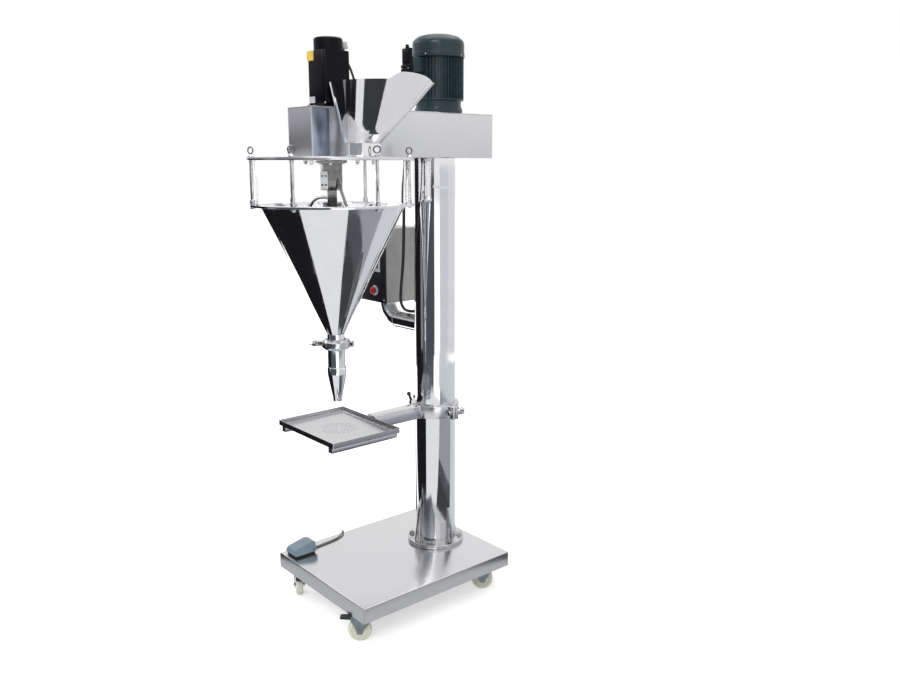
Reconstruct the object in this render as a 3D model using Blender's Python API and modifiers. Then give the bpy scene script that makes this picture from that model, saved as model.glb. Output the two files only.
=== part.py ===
"""Auger powder filler, standing on four swivel casters.

A deck on casters carries a round column. The column carries a long belt housing, and the
hopper hangs under the front of that housing. A servo motor turns the auger, and a flange
motor turns the stirrer through a belt. A clamped arm on the column holds the tray, and an
elbow pipe holds the control box. Metres, +Z up, operator on the -Y side. The origin is on
the floor, at the middle of the machine's outline.
"""

import math

import bmesh
import bpy
from mathutils import Matrix, Vector

# Fits
GAP = 0.0003                # between pieces that touch
SHEET = 0.003               # heavy sheet: deck, belt housing, arm
THIN_SHEET = 0.002          # light sheet: cone, funnel, control box
ROUND = 32                  # sides of a large turned piece
SMALL_ROUND = 24            # sides of a small one

# Deck and casters
DECK_TOP = 0.150
DECK_WIDTH = 0.554
DECK_FRONT = 0.534          # column axis to the deck's front edge
DECK_REAR = 0.129
SKIRT = 0.055
CORD_HOLE = 0.012
CHANNEL_WIDTH = 0.090
CHANNEL_DROP = 0.037
CASTER_INSET = 0.050
WHEEL_RADIUS = 0.040
WHEEL_WIDTH = 0.026
WHEEL_SIDES = 24
AXLE_RADIUS = 0.004
CASTER_TRAIL = 0.028
FORK_SHEET = 0.003
FORK_CLEARANCE = 0.002
CASTER_HEADINGS = {"fl": -30.0, "fr": 230.0, "rl": 200.0, "rr": 230.0}
BRAKE_PIVOT_REACH = 0.052   # kingpin to the pedal's pin
BRAKE_PIVOT_HEIGHT = 0.084
BRAKE_REACH = 0.096
BRAKE_WIDTH = 0.024

# Column
COLUMN_RADIUS = 0.076
COLUMN_CAP = 0.010          # plate welded into the column's top
FOOT_RADIUS = 0.109
FOOT_THICKNESS = 0.012
RIB_HEIGHT = 0.135
RIB_REACH = 0.100
RIB_THICKNESS = 0.008
FOOT_BOLT_CIRCLE = 0.093
FOOT_BOLT_RADIUS = 0.006

# Belt housing
HOUSING_BOTTOM = 1.611
HOUSING_HEIGHT = 0.156
HOUSING_WIDTH = 0.141
HOUSING_FRONT = 0.551       # column axis to the housing's front face
HOUSING_REAR = 0.220
HOPPER_REACH = 0.436        # column axis to the hopper's axis

# Flange motor, shaft down
MOTOR_SETBACK = 0.0205      # motor axis behind the column axis
MOTOR_FLANGE_RADIUS = 0.0855
MOTOR_NECK_HEIGHT = 0.043
MOTOR_FIN_RADIUS = 0.0902
MOTOR_FIN_DEPTH = 0.007
MOTOR_FINS = 24
MOTOR_BODY_HEIGHT = 0.156
MOTOR_COVER_HEIGHT = 0.078
MOTOR_SHAFT_RADIUS = 0.0095
TERMINAL_WIDTH = 0.048
TERMINAL_REACH = 0.150      # motor axis to the terminal box's face
TERMINAL_HEIGHT = 0.058
TERMINAL_DEPTH = 0.020      # the black box in front of the motor's own pad

# Belt drive
PULLEY_LIFT = 0.029         # housing's underside to the pulleys
PULLEY_HEIGHT = 0.024
BELT_THICKNESS = 0.006
BELT_WIDTH = 0.010
DRIVE_GROOVE_RADIUS = 0.019
DRIVEN_GROOVE_RADIUS = 0.049
PULLEY_RIM = 0.009          # rim above the groove's floor

# Servo motor, shaft down
SERVO_WIDTH = 0.105
SERVO_HEIGHT = 0.175
SERVO_BORE_DEPTH = 0.030
ENCODER_RADIUS = 0.0466
ENCODER_HEIGHT = 0.041
SERVO_SHAFT_RADIUS = 0.010
COUPLING_RADIUS = 0.020
COUPLING_LIFT = 0.089       # housing's underside to the coupling
COUPLING_HEIGHT = 0.044
CONNECTOR_REACH = 0.068     # servo axis to the connector's end
CONNECTOR_WIDTH = 0.022
CONNECTOR_HEIGHT = 0.024
CONNECTOR_LIFT = 0.012
CONNECTOR_OVERHANG = 0.010  # connector's end to its cable
SERVO_CABLE_RADIUS = 0.004
SERVO_CABLE_REACH = 0.114   # servo axis to the cable's hole in the cover

# Auger and stirrer
AUGER_SHAFT_RADIUS = 0.009
AUGER_FLIGHT_RADIUS = 0.0270
AUGER_PITCH = 0.034
AUGER_TURNS = 5
AUGER_FLIGHT_INSET = 0.003  # flight's lower end inside the auger tube
AUGER_FLIGHT_THICKNESS = 0.0025
SLEEVE_RADIUS = 0.016
SLEEVE_BORE = 0.0105
SLEEVE_DROP = 0.066         # sleeve's lower end below the hub
STIRRER_HUB_RADIUS = 0.035
STIRRER_HUB_HEIGHT = 0.063
STIRRER_ROD_RADIUS = 0.005
STIRRER_WALL_GAP = 0.012    # rod's centre to the cone's wall
STIRRER_ELBOW_REACH = 0.095 # first bend of the right rod
STIRRER_TURN_REACH = 0.135  # last bend of the left rod before the wall
BEARING_RADIUS = 0.0355
BEARING_FLANGE_RADIUS = 0.050
BEARING_DROP = 0.042        # bearing's lower end below the housing

# Hopper
LID_RADIUS = 0.272
LID_THICKNESS = 0.010
RING_RADIUS = 0.270
RING_THICKNESS = 0.008
POST_CIRCLE = 0.257
POST_COUNT = 6
POST_RADIUS = 0.006
TIE_NUT_RADIUS = 0.0095
TIE_NUT_HEIGHT = 0.009
TIE_COLLAR_HEIGHT = 0.014
TIE_HEAD_HEIGHT = 0.010
EYE_RADIUS = 0.0105
EYE_WIRE = 0.003
EYE_LIFT = 0.012            # rod's head to the eye's middle
CYLINDER_RADIUS = 0.246
CYLINDER_HEIGHT = 0.1381
CYLINDER_WALL = 0.005
CONE_TOP_RADIUS = 0.240
CONE_HEIGHT = 0.430
NECK_RADIUS = 0.0305
FERRULE_RADIUS = 0.0425
FERRULE_THICKNESS = 0.006
NECK_LENGTH = 0.0355        # cone's lower end to the joint with the auger tube
OUTLET_WALL = 0.002

# Outlet
TUBE_LENGTH = 0.0995
NOZZLE_OVERLAP = 0.020      # nozzle's collar up the auger tube
NOZZLE_COLLAR_HEIGHT = 0.025
NOZZLE_TAPER = 0.097
NOZZLE_COLLAR_RADIUS = 0.0330
NOZZLE_TIP_RADIUS = 0.0155
CLAMP_RADIUS = 0.0495
CLAMP_HEIGHT = 0.032
CLAMP_TURN = 45.0           # direction of the clamp's hinge, degrees
CLAMP_SPLIT = 0.0005        # half the slit between the clamp's halves
CLAMP_BOLT_REACH = 0.072
CLAMP_BOLT_RADIUS = 0.004
WING_OFFSET = 0.016
WING_SPAN = 0.038

# Feed funnel
PORT_X = 0.170
PORT_Y = -0.430
PORT_RADIUS = 0.060
PORT_HEIGHT = 0.042
PORT_FLANGE_RADIUS = 0.067
FUNNEL_X = 0.225
FUNNEL_Y = -0.3895
FUNNEL_RADIUS = 0.1615
FUNNEL_HEIGHT = 0.177
FUNNEL_LIP = 0.019
FUNNEL_LIP_HEADING = -18.0  # degrees, the raised lip's highest point
FUNNEL_LIP_FRONT = 10.0     # degrees over which the lip rises before that point
FUNNEL_LIP_REAR = 50.0      # degrees over which it falls after that point

# Tray and its clamped arm
TRAY_DROP = 0.127           # nozzle's tip to the arm's underside, tray at rest
ARM_HEIGHT = 0.048
ARM_WIDTH = 0.048
COLLAR_WALL = 0.014
COLLAR_SPLIT = 0.001
EAR_REACH = 0.122
EAR_THICKNESS = 0.012
EAR_BOLT_REACH = 0.106
EAR_BOLT_RADIUS = 0.005
LEVER_LENGTH = 0.034
KNOB_RADIUS = 0.016
RAIL = 0.020
RAIL_SPACING = 0.300
PAN_WIDTH = 0.352
PAN_LENGTH = 0.270
PAN_DEPTH = 0.0187
PAN_SHEET = 0.0015
PAN_HOLE_RADIUS = 0.0045
PAN_HOLE_PITCH = 0.030
PAN_HOLE_RINGS = 2

# Control box on its elbow pipe
ELBOW_RADIUS = 0.0318
ELBOW_BEND = 0.066
ELBOW_HEIGHT = 0.993
BOX_X = -0.291
BOX_LIFT = 0.007            # elbow's bend to the control box
BOX_WIDTH = 0.200
BOX_DEPTH = 0.172
BOX_HEIGHT = 0.285
DOOR_THICKNESS = 0.0055
DISPLAY_WIDTH = 0.140
DISPLAY_HEIGHT = 0.105
DISPLAY_LIFT = 0.118        # box's underside to the display
DISPLAY_BEZEL = 0.008
DISPLAY_THICKNESS = 0.004
STOP_OFFSET = 0.033         # box's middle to the stop button
STOP_LIFT = 0.045
STOP_RING_RADIUS = 0.0195
STOP_RING_DEPTH = 0.005
STOP_CAP_RADIUS = 0.0145
STOP_STEM_RADIUS = 0.009
STOP_TRAVEL = 0.004

# Foot switch on the deck
SWITCH_INSET = 0.052        # deck's left edge to the switch's middle
SWITCH_SETBACK = 0.062      # deck's front edge to the switch's middle
SWITCH_WIDTH = 0.075
SWITCH_LENGTH = 0.090
SWITCH_FRONT_HEIGHT = 0.030
SWITCH_REAR_HEIGHT = 0.044
SWITCH_SHELL = 0.003
SWITCH_LIFT = 0.0085        # the cover's edge above the deck
SWITCH_PIN_Y = 0.034        # pin behind the switch's middle
SWITCH_PIN_HEIGHT = 0.015
SWITCH_PIN_RADIUS = 0.003
SWITCH_PLATE = 0.008

# Cables
HEAD_CABLE_RADIUS = 0.006
HEAD_CABLE_LIFT = 0.048     # elbow's axis to the cable's hole in the column
HEAD_CABLE_Y = -0.124
CORD_RADIUS = 0.003

# The outline's middle becomes the origin
LEFT_REACH = -BOX_X + BOX_WIDTH / 2
RIGHT_REACH = FUNNEL_X + FUNNEL_RADIUS
FRONT_REACH = HOPPER_REACH + LID_RADIUS
COLUMN_X = (LEFT_REACH - RIGHT_REACH) / 2
COLUMN_Y = (FRONT_REACH - HOUSING_REAR) / 2

# Heights that follow from the housing, downwards to the tray
HOUSING_TOP = HOUSING_BOTTOM + HOUSING_HEIGHT
COVER_SHEET_BOTTOM = HOUSING_TOP - SHEET
PULLEY_BOTTOM = HOUSING_BOTTOM + PULLEY_LIFT
COUPLING_BOTTOM = HOUSING_BOTTOM + COUPLING_LIFT
BEARING_BOTTOM = HOUSING_BOTTOM - BEARING_DROP
STIRRER_HUB_BOTTOM = BEARING_BOTTOM - STIRRER_HUB_HEIGHT
SLEEVE_BOTTOM = STIRRER_HUB_BOTTOM - SLEEVE_DROP
LID_TOP = HOUSING_BOTTOM - GAP
LID_BOTTOM = LID_TOP - LID_THICKNESS
RING_TOP = LID_BOTTOM - CYLINDER_HEIGHT - 2 * GAP
RING_BOTTOM = RING_TOP - RING_THICKNESS
CONE_BOTTOM = RING_BOTTOM - CONE_HEIGHT
JOINT_HEIGHT = CONE_BOTTOM - NECK_LENGTH
TUBE_BOTTOM = JOINT_HEIGHT - TUBE_LENGTH
AUGER_FLIGHT_BOTTOM = TUBE_BOTTOM + AUGER_FLIGHT_INSET
NOZZLE_TOP = TUBE_BOTTOM + NOZZLE_OVERLAP
NOZZLE_SHOULDER = NOZZLE_TOP - NOZZLE_COLLAR_HEIGHT
NOZZLE_BOTTOM = NOZZLE_SHOULDER - NOZZLE_TAPER
ARM_BOTTOM = NOZZLE_BOTTOM - TRAY_DROP

# Places that follow from the elbow pipe and the deck
BOX_BOTTOM = ELBOW_HEIGHT + ELBOW_BEND + BOX_LIFT
DISPLAY_BOTTOM = BOX_BOTTOM + DISPLAY_LIFT
STOP_X = BOX_X + STOP_OFFSET
STOP_HEIGHT = BOX_BOTTOM + STOP_LIFT
HEAD_CABLE_ENTRY = ELBOW_HEIGHT + HEAD_CABLE_LIFT
SWITCH_X = SWITCH_INSET - DECK_WIDTH / 2
SWITCH_Y = SWITCH_SETBACK - DECK_FRONT


def clear_scene():
    for thing in list(bpy.data.objects):
        bpy.data.objects.remove(thing, do_unlink=True)


def new_collection(name):
    collection = bpy.data.collections.new(name)
    bpy.context.scene.collection.children.link(collection)
    return collection


def at(x, y, z):
    """World place of a point given from the column's axis and the floor."""
    return Vector((COLUMN_X + x, COLUMN_Y + y, z))


def finish(name, colour, roughness, metallic):
    material = bpy.data.materials.new(name)
    material.use_nodes = True
    shader = material.node_tree.nodes["Principled BSDF"]
    shader.inputs["Base Color"].default_value = (*colour, 1.0)
    shader.inputs["Roughness"].default_value = roughness
    shader.inputs["Metallic"].default_value = metallic
    return material


clear_scene()
PARTS = new_collection("auger_powder_filler")
TOOLS = new_collection("cutters")
BRUSHED = finish("brushed_stainless", (0.62, 0.62, 0.64), 0.32, 1.0)
POLISHED = finish("polished_stainless", (0.75, 0.75, 0.77), 0.06, 1.0)
ZINC = finish("zinc_plate", (0.42, 0.46, 0.52), 0.35, 1.0)
MOTOR_PAINT = finish("motor_paint", (0.05, 0.08, 0.09), 0.35, 0.0)
BLACK_PAINT = finish("black_paint", (0.012, 0.012, 0.014), 0.30, 0.0)
BLACK_PLASTIC = finish("black_plastic", (0.015, 0.015, 0.016), 0.45, 0.0)
CREAM_WHEEL = finish("cream_wheel", (0.68, 0.66, 0.58), 0.45, 0.0)
CLEAR_ACRYLIC = finish("clear_acrylic", (0.90, 0.93, 0.94), 0.05, 0.0)
BELT_RUBBER = finish("belt_rubber", (0.02, 0.02, 0.02), 0.70, 0.0)
CAST_IRON = finish("cast_iron", (0.20, 0.20, 0.21), 0.50, 1.0)
GREY_PAINT = finish("grey_paint", (0.42, 0.43, 0.42), 0.45, 0.0)
PANEL_BLACK = finish("panel_black", (0.015, 0.017, 0.020), 0.35, 0.0)
SCREEN = finish("screen_frame", (0.50, 0.51, 0.52), 0.30, 0.0)
STOP_RED = finish("stop_red", (0.42, 0.01, 0.02), 0.30, 0.0)
PEDAL_BLUE = finish("pedal_blue_grey", (0.22, 0.29, 0.34), 0.45, 0.0)
CORD_GREY = finish("cord_grey", (0.25, 0.26, 0.27), 0.50, 0.0)


def add_object(name, mesh, material, place=Vector((0, 0, 0)), turn=(0, 0, 0)):
    thing = bpy.data.objects.new(name, mesh)
    thing.location = place
    thing.rotation_euler = [math.radians(angle) for angle in turn]
    if material and not mesh.materials:
        mesh.materials.append(material)
    PARTS.objects.link(thing)
    return thing


def mesh_of(bm, name):
    mesh = bpy.data.meshes.new(name)
    bm.to_mesh(mesh)
    bm.free()
    return mesh


def block(name, size, centre, material=None, turn=(0, 0, 0), rounding=0.0):
    bm = bmesh.new()
    bmesh.ops.create_cube(bm, size=1.0, matrix=Matrix.Diagonal((*size, 1.0)))
    if rounding:
        upright = [edge for edge in bm.edges
                   if abs(edge.verts[0].co.z - edge.verts[1].co.z) > size[2] / 2]
        bmesh.ops.bevel(bm, geom=upright, offset=rounding, segments=2, profile=0.5,
                        affect="EDGES", material=-1)
    return add_object(name, mesh_of(bm, name), material, centre, turn)


def rod(name, radius, start, end, material=None, sides=SMALL_ROUND):
    """A round bar between two points."""
    along = end - start
    bm = bmesh.new()
    bmesh.ops.create_cone(bm, cap_ends=True, segments=sides, radius1=radius, radius2=radius,
                          depth=along.length)
    mesh = mesh_of(bm, name)
    mesh.shade_smooth()
    mesh.set_sharp_from_angle(angle=math.radians(40))
    thing = add_object(name, mesh, material, (start + end) / 2)
    thing.rotation_euler = along.to_track_quat("Z", "Y").to_euler()
    return thing


def turned(name, profile, place, material=None, turn=(0, 0, 0), steps=ROUND, closed=False):
    """A profile of (radius, height) points, outer side first and top to bottom, turned round Z."""
    mesh = bpy.data.meshes.new(name)
    points = [(radius, 0.0, height) for radius, height in profile]
    edges = [(index, index + 1) for index in range(len(points) - 1)]
    if closed:
        edges.append((len(points) - 1, 0))
    mesh.from_pydata(points, edges, [])
    thing = add_object(name, mesh, material, place, turn)
    screw = thing.modifiers.new("turn", "SCREW")
    screw.steps = steps
    screw.render_steps = steps
    screw.use_merge_vertices = True
    screw.merge_threshold = 0.00001
    screw.use_smooth_shade = True
    return thing


def outline(name, rings, thickness, place, material=None, turn=(0, 0, 0)):
    """A flat outline in its own XY plane, with holes, extruded to a plate about that plane."""
    curve = bpy.data.curves.new(name, "CURVE")
    curve.dimensions = "2D"
    curve.fill_mode = "BOTH"
    curve.extrude = thickness / 2
    for ring in rings:
        spline = curve.splines.new("POLY")
        spline.points.add(len(ring) - 1)
        for point, (x, y) in zip(spline.points, ring):
            point.co = (x, y, 0.0, 1.0)
        spline.use_cyclic_u = True
    thing = bpy.data.objects.new(name, curve)
    thing.location = place
    thing.rotation_euler = [math.radians(angle) for angle in turn]
    PARTS.objects.link(thing)
    solid = as_mesh(thing)
    if material:
        solid.data.materials.append(material)
    return solid


def as_mesh(thing):
    """The evaluated shape of an object as a mesh object of the same name and place."""
    bpy.context.view_layer.update()
    evaluated = thing.evaluated_get(bpy.context.evaluated_depsgraph_get())
    mesh = bpy.data.meshes.new_from_object(evaluated)
    bm = bmesh.new()
    bm.from_mesh(mesh)
    bmesh.ops.remove_doubles(bm, verts=bm.verts, dist=0.00001)
    bmesh.ops.recalc_face_normals(bm, faces=bm.faces)
    bm.to_mesh(mesh)
    bm.free()
    name = thing.name
    place = thing.matrix_world.copy()
    bpy.data.objects.remove(thing, do_unlink=True)
    solid = bpy.data.objects.new(name, mesh)
    solid.matrix_world = place
    PARTS.objects.link(solid)
    return solid


def template(thing, material=None):
    """The evaluated shape of an object as a shared mesh in world places; the object goes."""
    solid = as_mesh(thing)
    mesh = solid.data
    mesh.transform(solid.matrix_world)
    bpy.data.objects.remove(solid, do_unlink=True)
    if material:
        mesh.materials.append(material)
    return mesh


def wire(name, points, radius, material=None, resolution=2, closed=False):
    """A round tube with closed ends along a list of points."""
    curve = bpy.data.curves.new(name, "CURVE")
    curve.dimensions = "3D"
    curve.bevel_depth = radius
    curve.bevel_resolution = resolution
    curve.use_fill_caps = True
    spline = curve.splines.new("POLY")
    spline.points.add(len(points) - 1)
    for point, place in zip(spline.points, points):
        point.co = (*place, 1.0)
    spline.use_cyclic_u = closed
    thing = bpy.data.objects.new(name, curve)
    PARTS.objects.link(thing)
    solid = as_mesh(thing)
    if material:
        solid.data.materials.append(material)
    return solid


def smooth_route(route, spacing):
    """Points about one spacing apart on a smooth curve through the route's own points."""
    padded = [2 * route[0] - route[1], *route, 2 * route[-1] - route[-2]]
    points = []
    for before, start, end, after in zip(padded, padded[1:], padded[2:], padded[3:]):
        count = max(1, round((end - start).length / spacing))
        for step in range(count):
            share = step / count
            points.append(0.5 * (2 * start + (end - before) * share
                                 + (2 * before - 5 * start + 4 * end - after) * share ** 2
                                 + (3 * start - before - 3 * end + after) * share ** 3))
    points.append(route[-1])
    return points


def boolean(thing, tool, operation):
    step = thing.modifiers.new(tool.name, "BOOLEAN")
    step.object = tool
    step.operation = operation
    PARTS.objects.unlink(tool)
    TOOLS.objects.link(tool)
    tool.hide_render = True
    tool.display_type = "WIRE"
    return thing


def cut(thing, tool):
    return boolean(thing, tool, "DIFFERENCE")


def join(thing, tool):
    return boolean(thing, tool, "UNION")


def drill(thing, radius, start, end, sides=SMALL_ROUND):
    return cut(thing, rod(thing.name + "_hole", radius, start, end, sides=sides))


def circle(radius, count, x=0.0, y=0.0, start=0.0):
    """Points round a circle, with the first at the start angle in degrees."""
    angles = [math.radians(start) + math.tau * index / count for index in range(count)]
    return [(x + radius * math.cos(angle), y + radius * math.sin(angle)) for angle in angles]


def arc(radius, first, last, count, x=0.0, y=0.0):
    angles = [math.radians(first + (last - first) * index / count) for index in range(count + 1)]
    return [(x + radius * math.cos(angle), y + radius * math.sin(angle)) for angle in angles]


# Deck and casters

def make_deck():
    length = DECK_FRONT + DECK_REAR
    middle_y = (DECK_REAR - DECK_FRONT) / 2
    overcut = 0.010
    deck = block("base_deck", (DECK_WIDTH, length, SKIRT), at(0, middle_y, DECK_TOP - SKIRT / 2),
                 BRUSHED)
    inside = (DECK_WIDTH - 2 * SHEET, length - 2 * SHEET, SKIRT + overcut)
    cut(deck, block("deck_inside", inside, at(0, middle_y, DECK_TOP - SHEET - inside[2] / 2)))
    channel_length = DECK_WIDTH - 4 * SHEET
    for row, y in (("front", CASTER_INSET - DECK_FRONT), ("rear", DECK_REAR - CASTER_INSET)):
        weld = SHEET / 2
        height = CHANNEL_DROP + weld
        centre = DECK_TOP - SHEET - CHANNEL_DROP + height / 2
        channel = block("channel_" + row, (channel_length, CHANNEL_WIDTH, height), at(0, y, centre))
        join(deck, channel)
        hollow_height = CHANNEL_DROP - SHEET
        hollow = (channel_length + SHEET, CHANNEL_WIDTH - 2 * SHEET, hollow_height)
        cut(deck, block("channel_hollow_" + row, hollow,
                        at(0, y, DECK_TOP - SHEET - hollow_height / 2)))
    drill(deck, CORD_HOLE, at(0, 0, DECK_TOP - 2 * SHEET), at(0, 0, DECK_TOP + SHEET))
    return deck


def fork_mesh(with_brake):
    """Race, bridge, legs and axle of one caster, about its kingpin and the floor."""
    top = DECK_TOP - SHEET - CHANNEL_DROP - GAP
    race_radius = 0.024
    race_height = 0.008
    bridge_bottom = 0.090
    leg_offset = WHEEL_WIDTH / 2 + FORK_CLEARANCE + FORK_SHEET / 2
    bridge_width = 2 * leg_offset + FORK_SHEET
    bridge_top = top - race_height + SHEET / 2
    fork = rod("fork", race_radius, Vector((0, 0, top - race_height)), Vector((0, 0, top)))
    bridge_length = 0.044
    join(fork, block("fork_bridge", (bridge_length, bridge_width, bridge_top - bridge_bottom),
                     Vector((0.002, 0, (bridge_top + bridge_bottom) / 2))))
    foot = arc(0.013, -170, -10, 6, CASTER_TRAIL, WHEEL_RADIUS)
    reach = 0.052 + 0.006 if with_brake else 0.040
    shoulder = 0.079
    leg = [(-0.020, bridge_bottom + 0.005), *foot, (reach, shoulder), (reach, bridge_bottom),
           (0.024, bridge_bottom + 0.005)]
    for side in (-1, 1):
        join(fork, outline("fork_leg", [leg], FORK_SHEET, Vector((0, side * leg_offset, 0)),
                           turn=(90, 0, 0)))
    pins = [("fork_axle", CASTER_TRAIL, WHEEL_RADIUS, AXLE_RADIUS, 0.0)]
    pins += [("fork_bolt", CASTER_TRAIL, WHEEL_RADIUS, 0.008, side * (bridge_width / 2 + 0.0015))
             for side in (-1, 1)]
    if with_brake:
        pins.append(("fork_brake_pin", BRAKE_PIVOT_REACH, BRAKE_PIVOT_HEIGHT, 0.002, 0.0))
    for name, x, z, radius, y in pins:
        half = 0.002 if y else bridge_width / 2 - FORK_SHEET / 2
        join(fork, rod(name, radius, Vector((x, y - half, z)), Vector((x, y + half, z)), sides=12))
    return template(fork, ZINC)


def wheel_mesh():
    """A tyre, web and hub turned about the wheel's own axis, standing on one flat facet."""
    rim = WHEEL_RADIUS / math.cos(math.pi / WHEEL_SIDES)
    half = WHEEL_WIDTH / 2
    web = 0.008
    shoulder = 0.004
    profile = [(rim, half - shoulder), (rim, shoulder - half), (rim - shoulder, -half),
               (0.030, -half), (0.012, -web), (AXLE_RADIUS + GAP, -half),
               (AXLE_RADIUS + GAP, half), (0.012, web), (0.030, half), (rim - shoulder, half)]
    wheel = turned("wheel", profile, Vector((0, 0, 0)), steps=WHEEL_SIDES, closed=True)
    mesh = template(wheel, CREAM_WHEEL)
    mesh.transform(Matrix.Rotation(math.pi / WHEEL_SIDES, 4, "Z"))
    mesh.transform(Matrix.Rotation(math.pi / 2, 4, "X"))
    mesh.shade_smooth()
    mesh.set_sharp_from_angle(angle=math.radians(40))
    return mesh


def brake_mesh():
    """The foot lever of a braked caster, about its own pin."""
    inner = -0.006
    reach = BRAKE_REACH - BRAKE_PIVOT_REACH
    profile = [(inner, -0.004), (0.006, -0.005), (reach - 0.004, -0.003), (reach, 0.0),
               (reach - 0.004, 0.005), (0.004, 0.006), (inner, 0.005)]
    hole = circle(0.002 + GAP, 12)
    brake = outline("brake", [profile, hole], BRAKE_WIDTH, Vector((0, 0, 0)), turn=(90, 0, 0))
    return template(brake, BLACK_PLASTIC)


def make_casters():
    forks = {True: fork_mesh(True), False: fork_mesh(False)}
    wheel = wheel_mesh()
    brake = brake_mesh()
    side_x = DECK_WIDTH / 2 - CASTER_INSET
    places = {"fl": (-side_x, CASTER_INSET - DECK_FRONT), "fr": (side_x, CASTER_INSET - DECK_FRONT),
              "rl": (-side_x, DECK_REAR - CASTER_INSET), "rr": (side_x, DECK_REAR - CASTER_INSET)}
    for corner, (x, y) in places.items():
        heading = CASTER_HEADINGS[corner]
        braked = corner in ("fl", "fr")
        label = "caster_" + corner
        fork = add_object(label + "_fork", forks[braked], None, at(x, y, 0), (0, 0, heading))
        tyre = add_object(label + "_wheel", wheel, None, Vector((CASTER_TRAIL, 0, WHEEL_RADIUS)))
        tyre.parent = fork
        if braked:
            lever = add_object(label + "_brake", brake, None,
                               Vector((BRAKE_PIVOT_REACH, 0, BRAKE_PIVOT_HEIGHT)))
            lever.parent = fork


# Column

def make_column():
    bore = COLUMN_RADIUS - SHEET
    bottom = DECK_TOP + GAP
    top = HOUSING_BOTTOM - GAP
    profile = [(0.0, top), (COLUMN_RADIUS, top), (COLUMN_RADIUS, bottom), (bore, bottom),
               (bore, top - COLUMN_CAP), (0.0, top - COLUMN_CAP)]
    column = turned("column_tube", profile, at(0, 0, 0), POLISHED)
    outside = -COLUMN_RADIUS - SHEET
    drill(column, ELBOW_RADIUS + GAP, at(outside, 0, ELBOW_HEIGHT), at(0, 0, ELBOW_HEIGHT))
    drill(column, HEAD_CABLE_RADIUS + GAP, at(outside, 0, HEAD_CABLE_ENTRY),
          at(0, 0, HEAD_CABLE_ENTRY), sides=12)
    return column


def make_column_foot():
    bottom = DECK_TOP + GAP
    top = bottom + FOOT_THICKNESS
    bore = COLUMN_RADIUS + GAP
    profile = [(FOOT_RADIUS, top), (FOOT_RADIUS, bottom), (bore, bottom), (bore, top)]
    foot = turned("column_foot", profile, at(0, 0, 0), POLISHED, closed=True)
    sink = 0.001
    inner = COLUMN_RADIUS + GAP
    rib = [(inner, -sink), (RIB_REACH, -sink), (RIB_REACH, 0.012), (inner + 0.004, RIB_HEIGHT),
           (inner, RIB_HEIGHT)]
    for quarter in range(4):
        angle = 90 * quarter
        join(foot, outline("foot_rib", [rib], RIB_THICKNESS, at(0, 0, top), turn=(90, 0, angle)))
        heading = math.radians(angle + 45)
        x = FOOT_BOLT_CIRCLE * math.cos(heading)
        y = FOOT_BOLT_CIRCLE * math.sin(heading)
        drill(foot, FOOT_BOLT_RADIUS, at(x, y, bottom - sink), at(x, y, top + sink), sides=12)
    return foot


# Belt housing and drive

def make_belt_housing():
    length = HOUSING_FRONT + HOUSING_REAR
    middle_y = (HOUSING_REAR - HOUSING_FRONT) / 2
    top = COVER_SHEET_BOTTOM - GAP
    height = top - HOUSING_BOTTOM
    housing = block("belt_housing", (HOUSING_WIDTH, length, height),
                    at(0, middle_y, HOUSING_BOTTOM + height / 2), BRUSHED)
    floor = SHEET + 0.001
    inside = (HOUSING_WIDTH - 2 * SHEET, length - 2 * SHEET, height)
    cut(housing, block("housing_inside", inside,
                       at(0, middle_y, HOUSING_BOTTOM + floor + height / 2)))
    for radius, y in ((BEARING_RADIUS + GAP, -HOPPER_REACH),
                      (HEAD_CABLE_RADIUS + GAP, HEAD_CABLE_Y)):
        drill(housing, radius, at(0, y, HOUSING_BOTTOM - SHEET),
              at(0, y, HOUSING_BOTTOM + 3 * SHEET))
    return housing


def make_housing_cover():
    length = HOUSING_FRONT + HOUSING_REAR
    middle_y = (HOUSING_REAR - HOUSING_FRONT) / 2
    cover = block("belt_housing_cover", (HOUSING_WIDTH, length, SHEET),
                  at(0, middle_y, HOUSING_TOP - SHEET / 2), BRUSHED)
    holes = ((0.0, MOTOR_SETBACK, 0.030), (0.0, -HOPPER_REACH, 0.030),
             (0.0, SERVO_CABLE_END_Y, SERVO_CABLE_RADIUS + GAP))
    for x, y, radius in holes:
        drill(cover, radius, at(x, y, HOUSING_TOP - 2 * SHEET), at(x, y, HOUSING_TOP + SHEET))
    return cover


MOTOR_BOTTOM = HOUSING_TOP + GAP
MOTOR_NECK_TOP = MOTOR_BOTTOM + MOTOR_NECK_HEIGHT
MOTOR_TOP = MOTOR_NECK_TOP + MOTOR_BODY_HEIGHT
COVER_OVERLAP = 0.011


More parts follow.
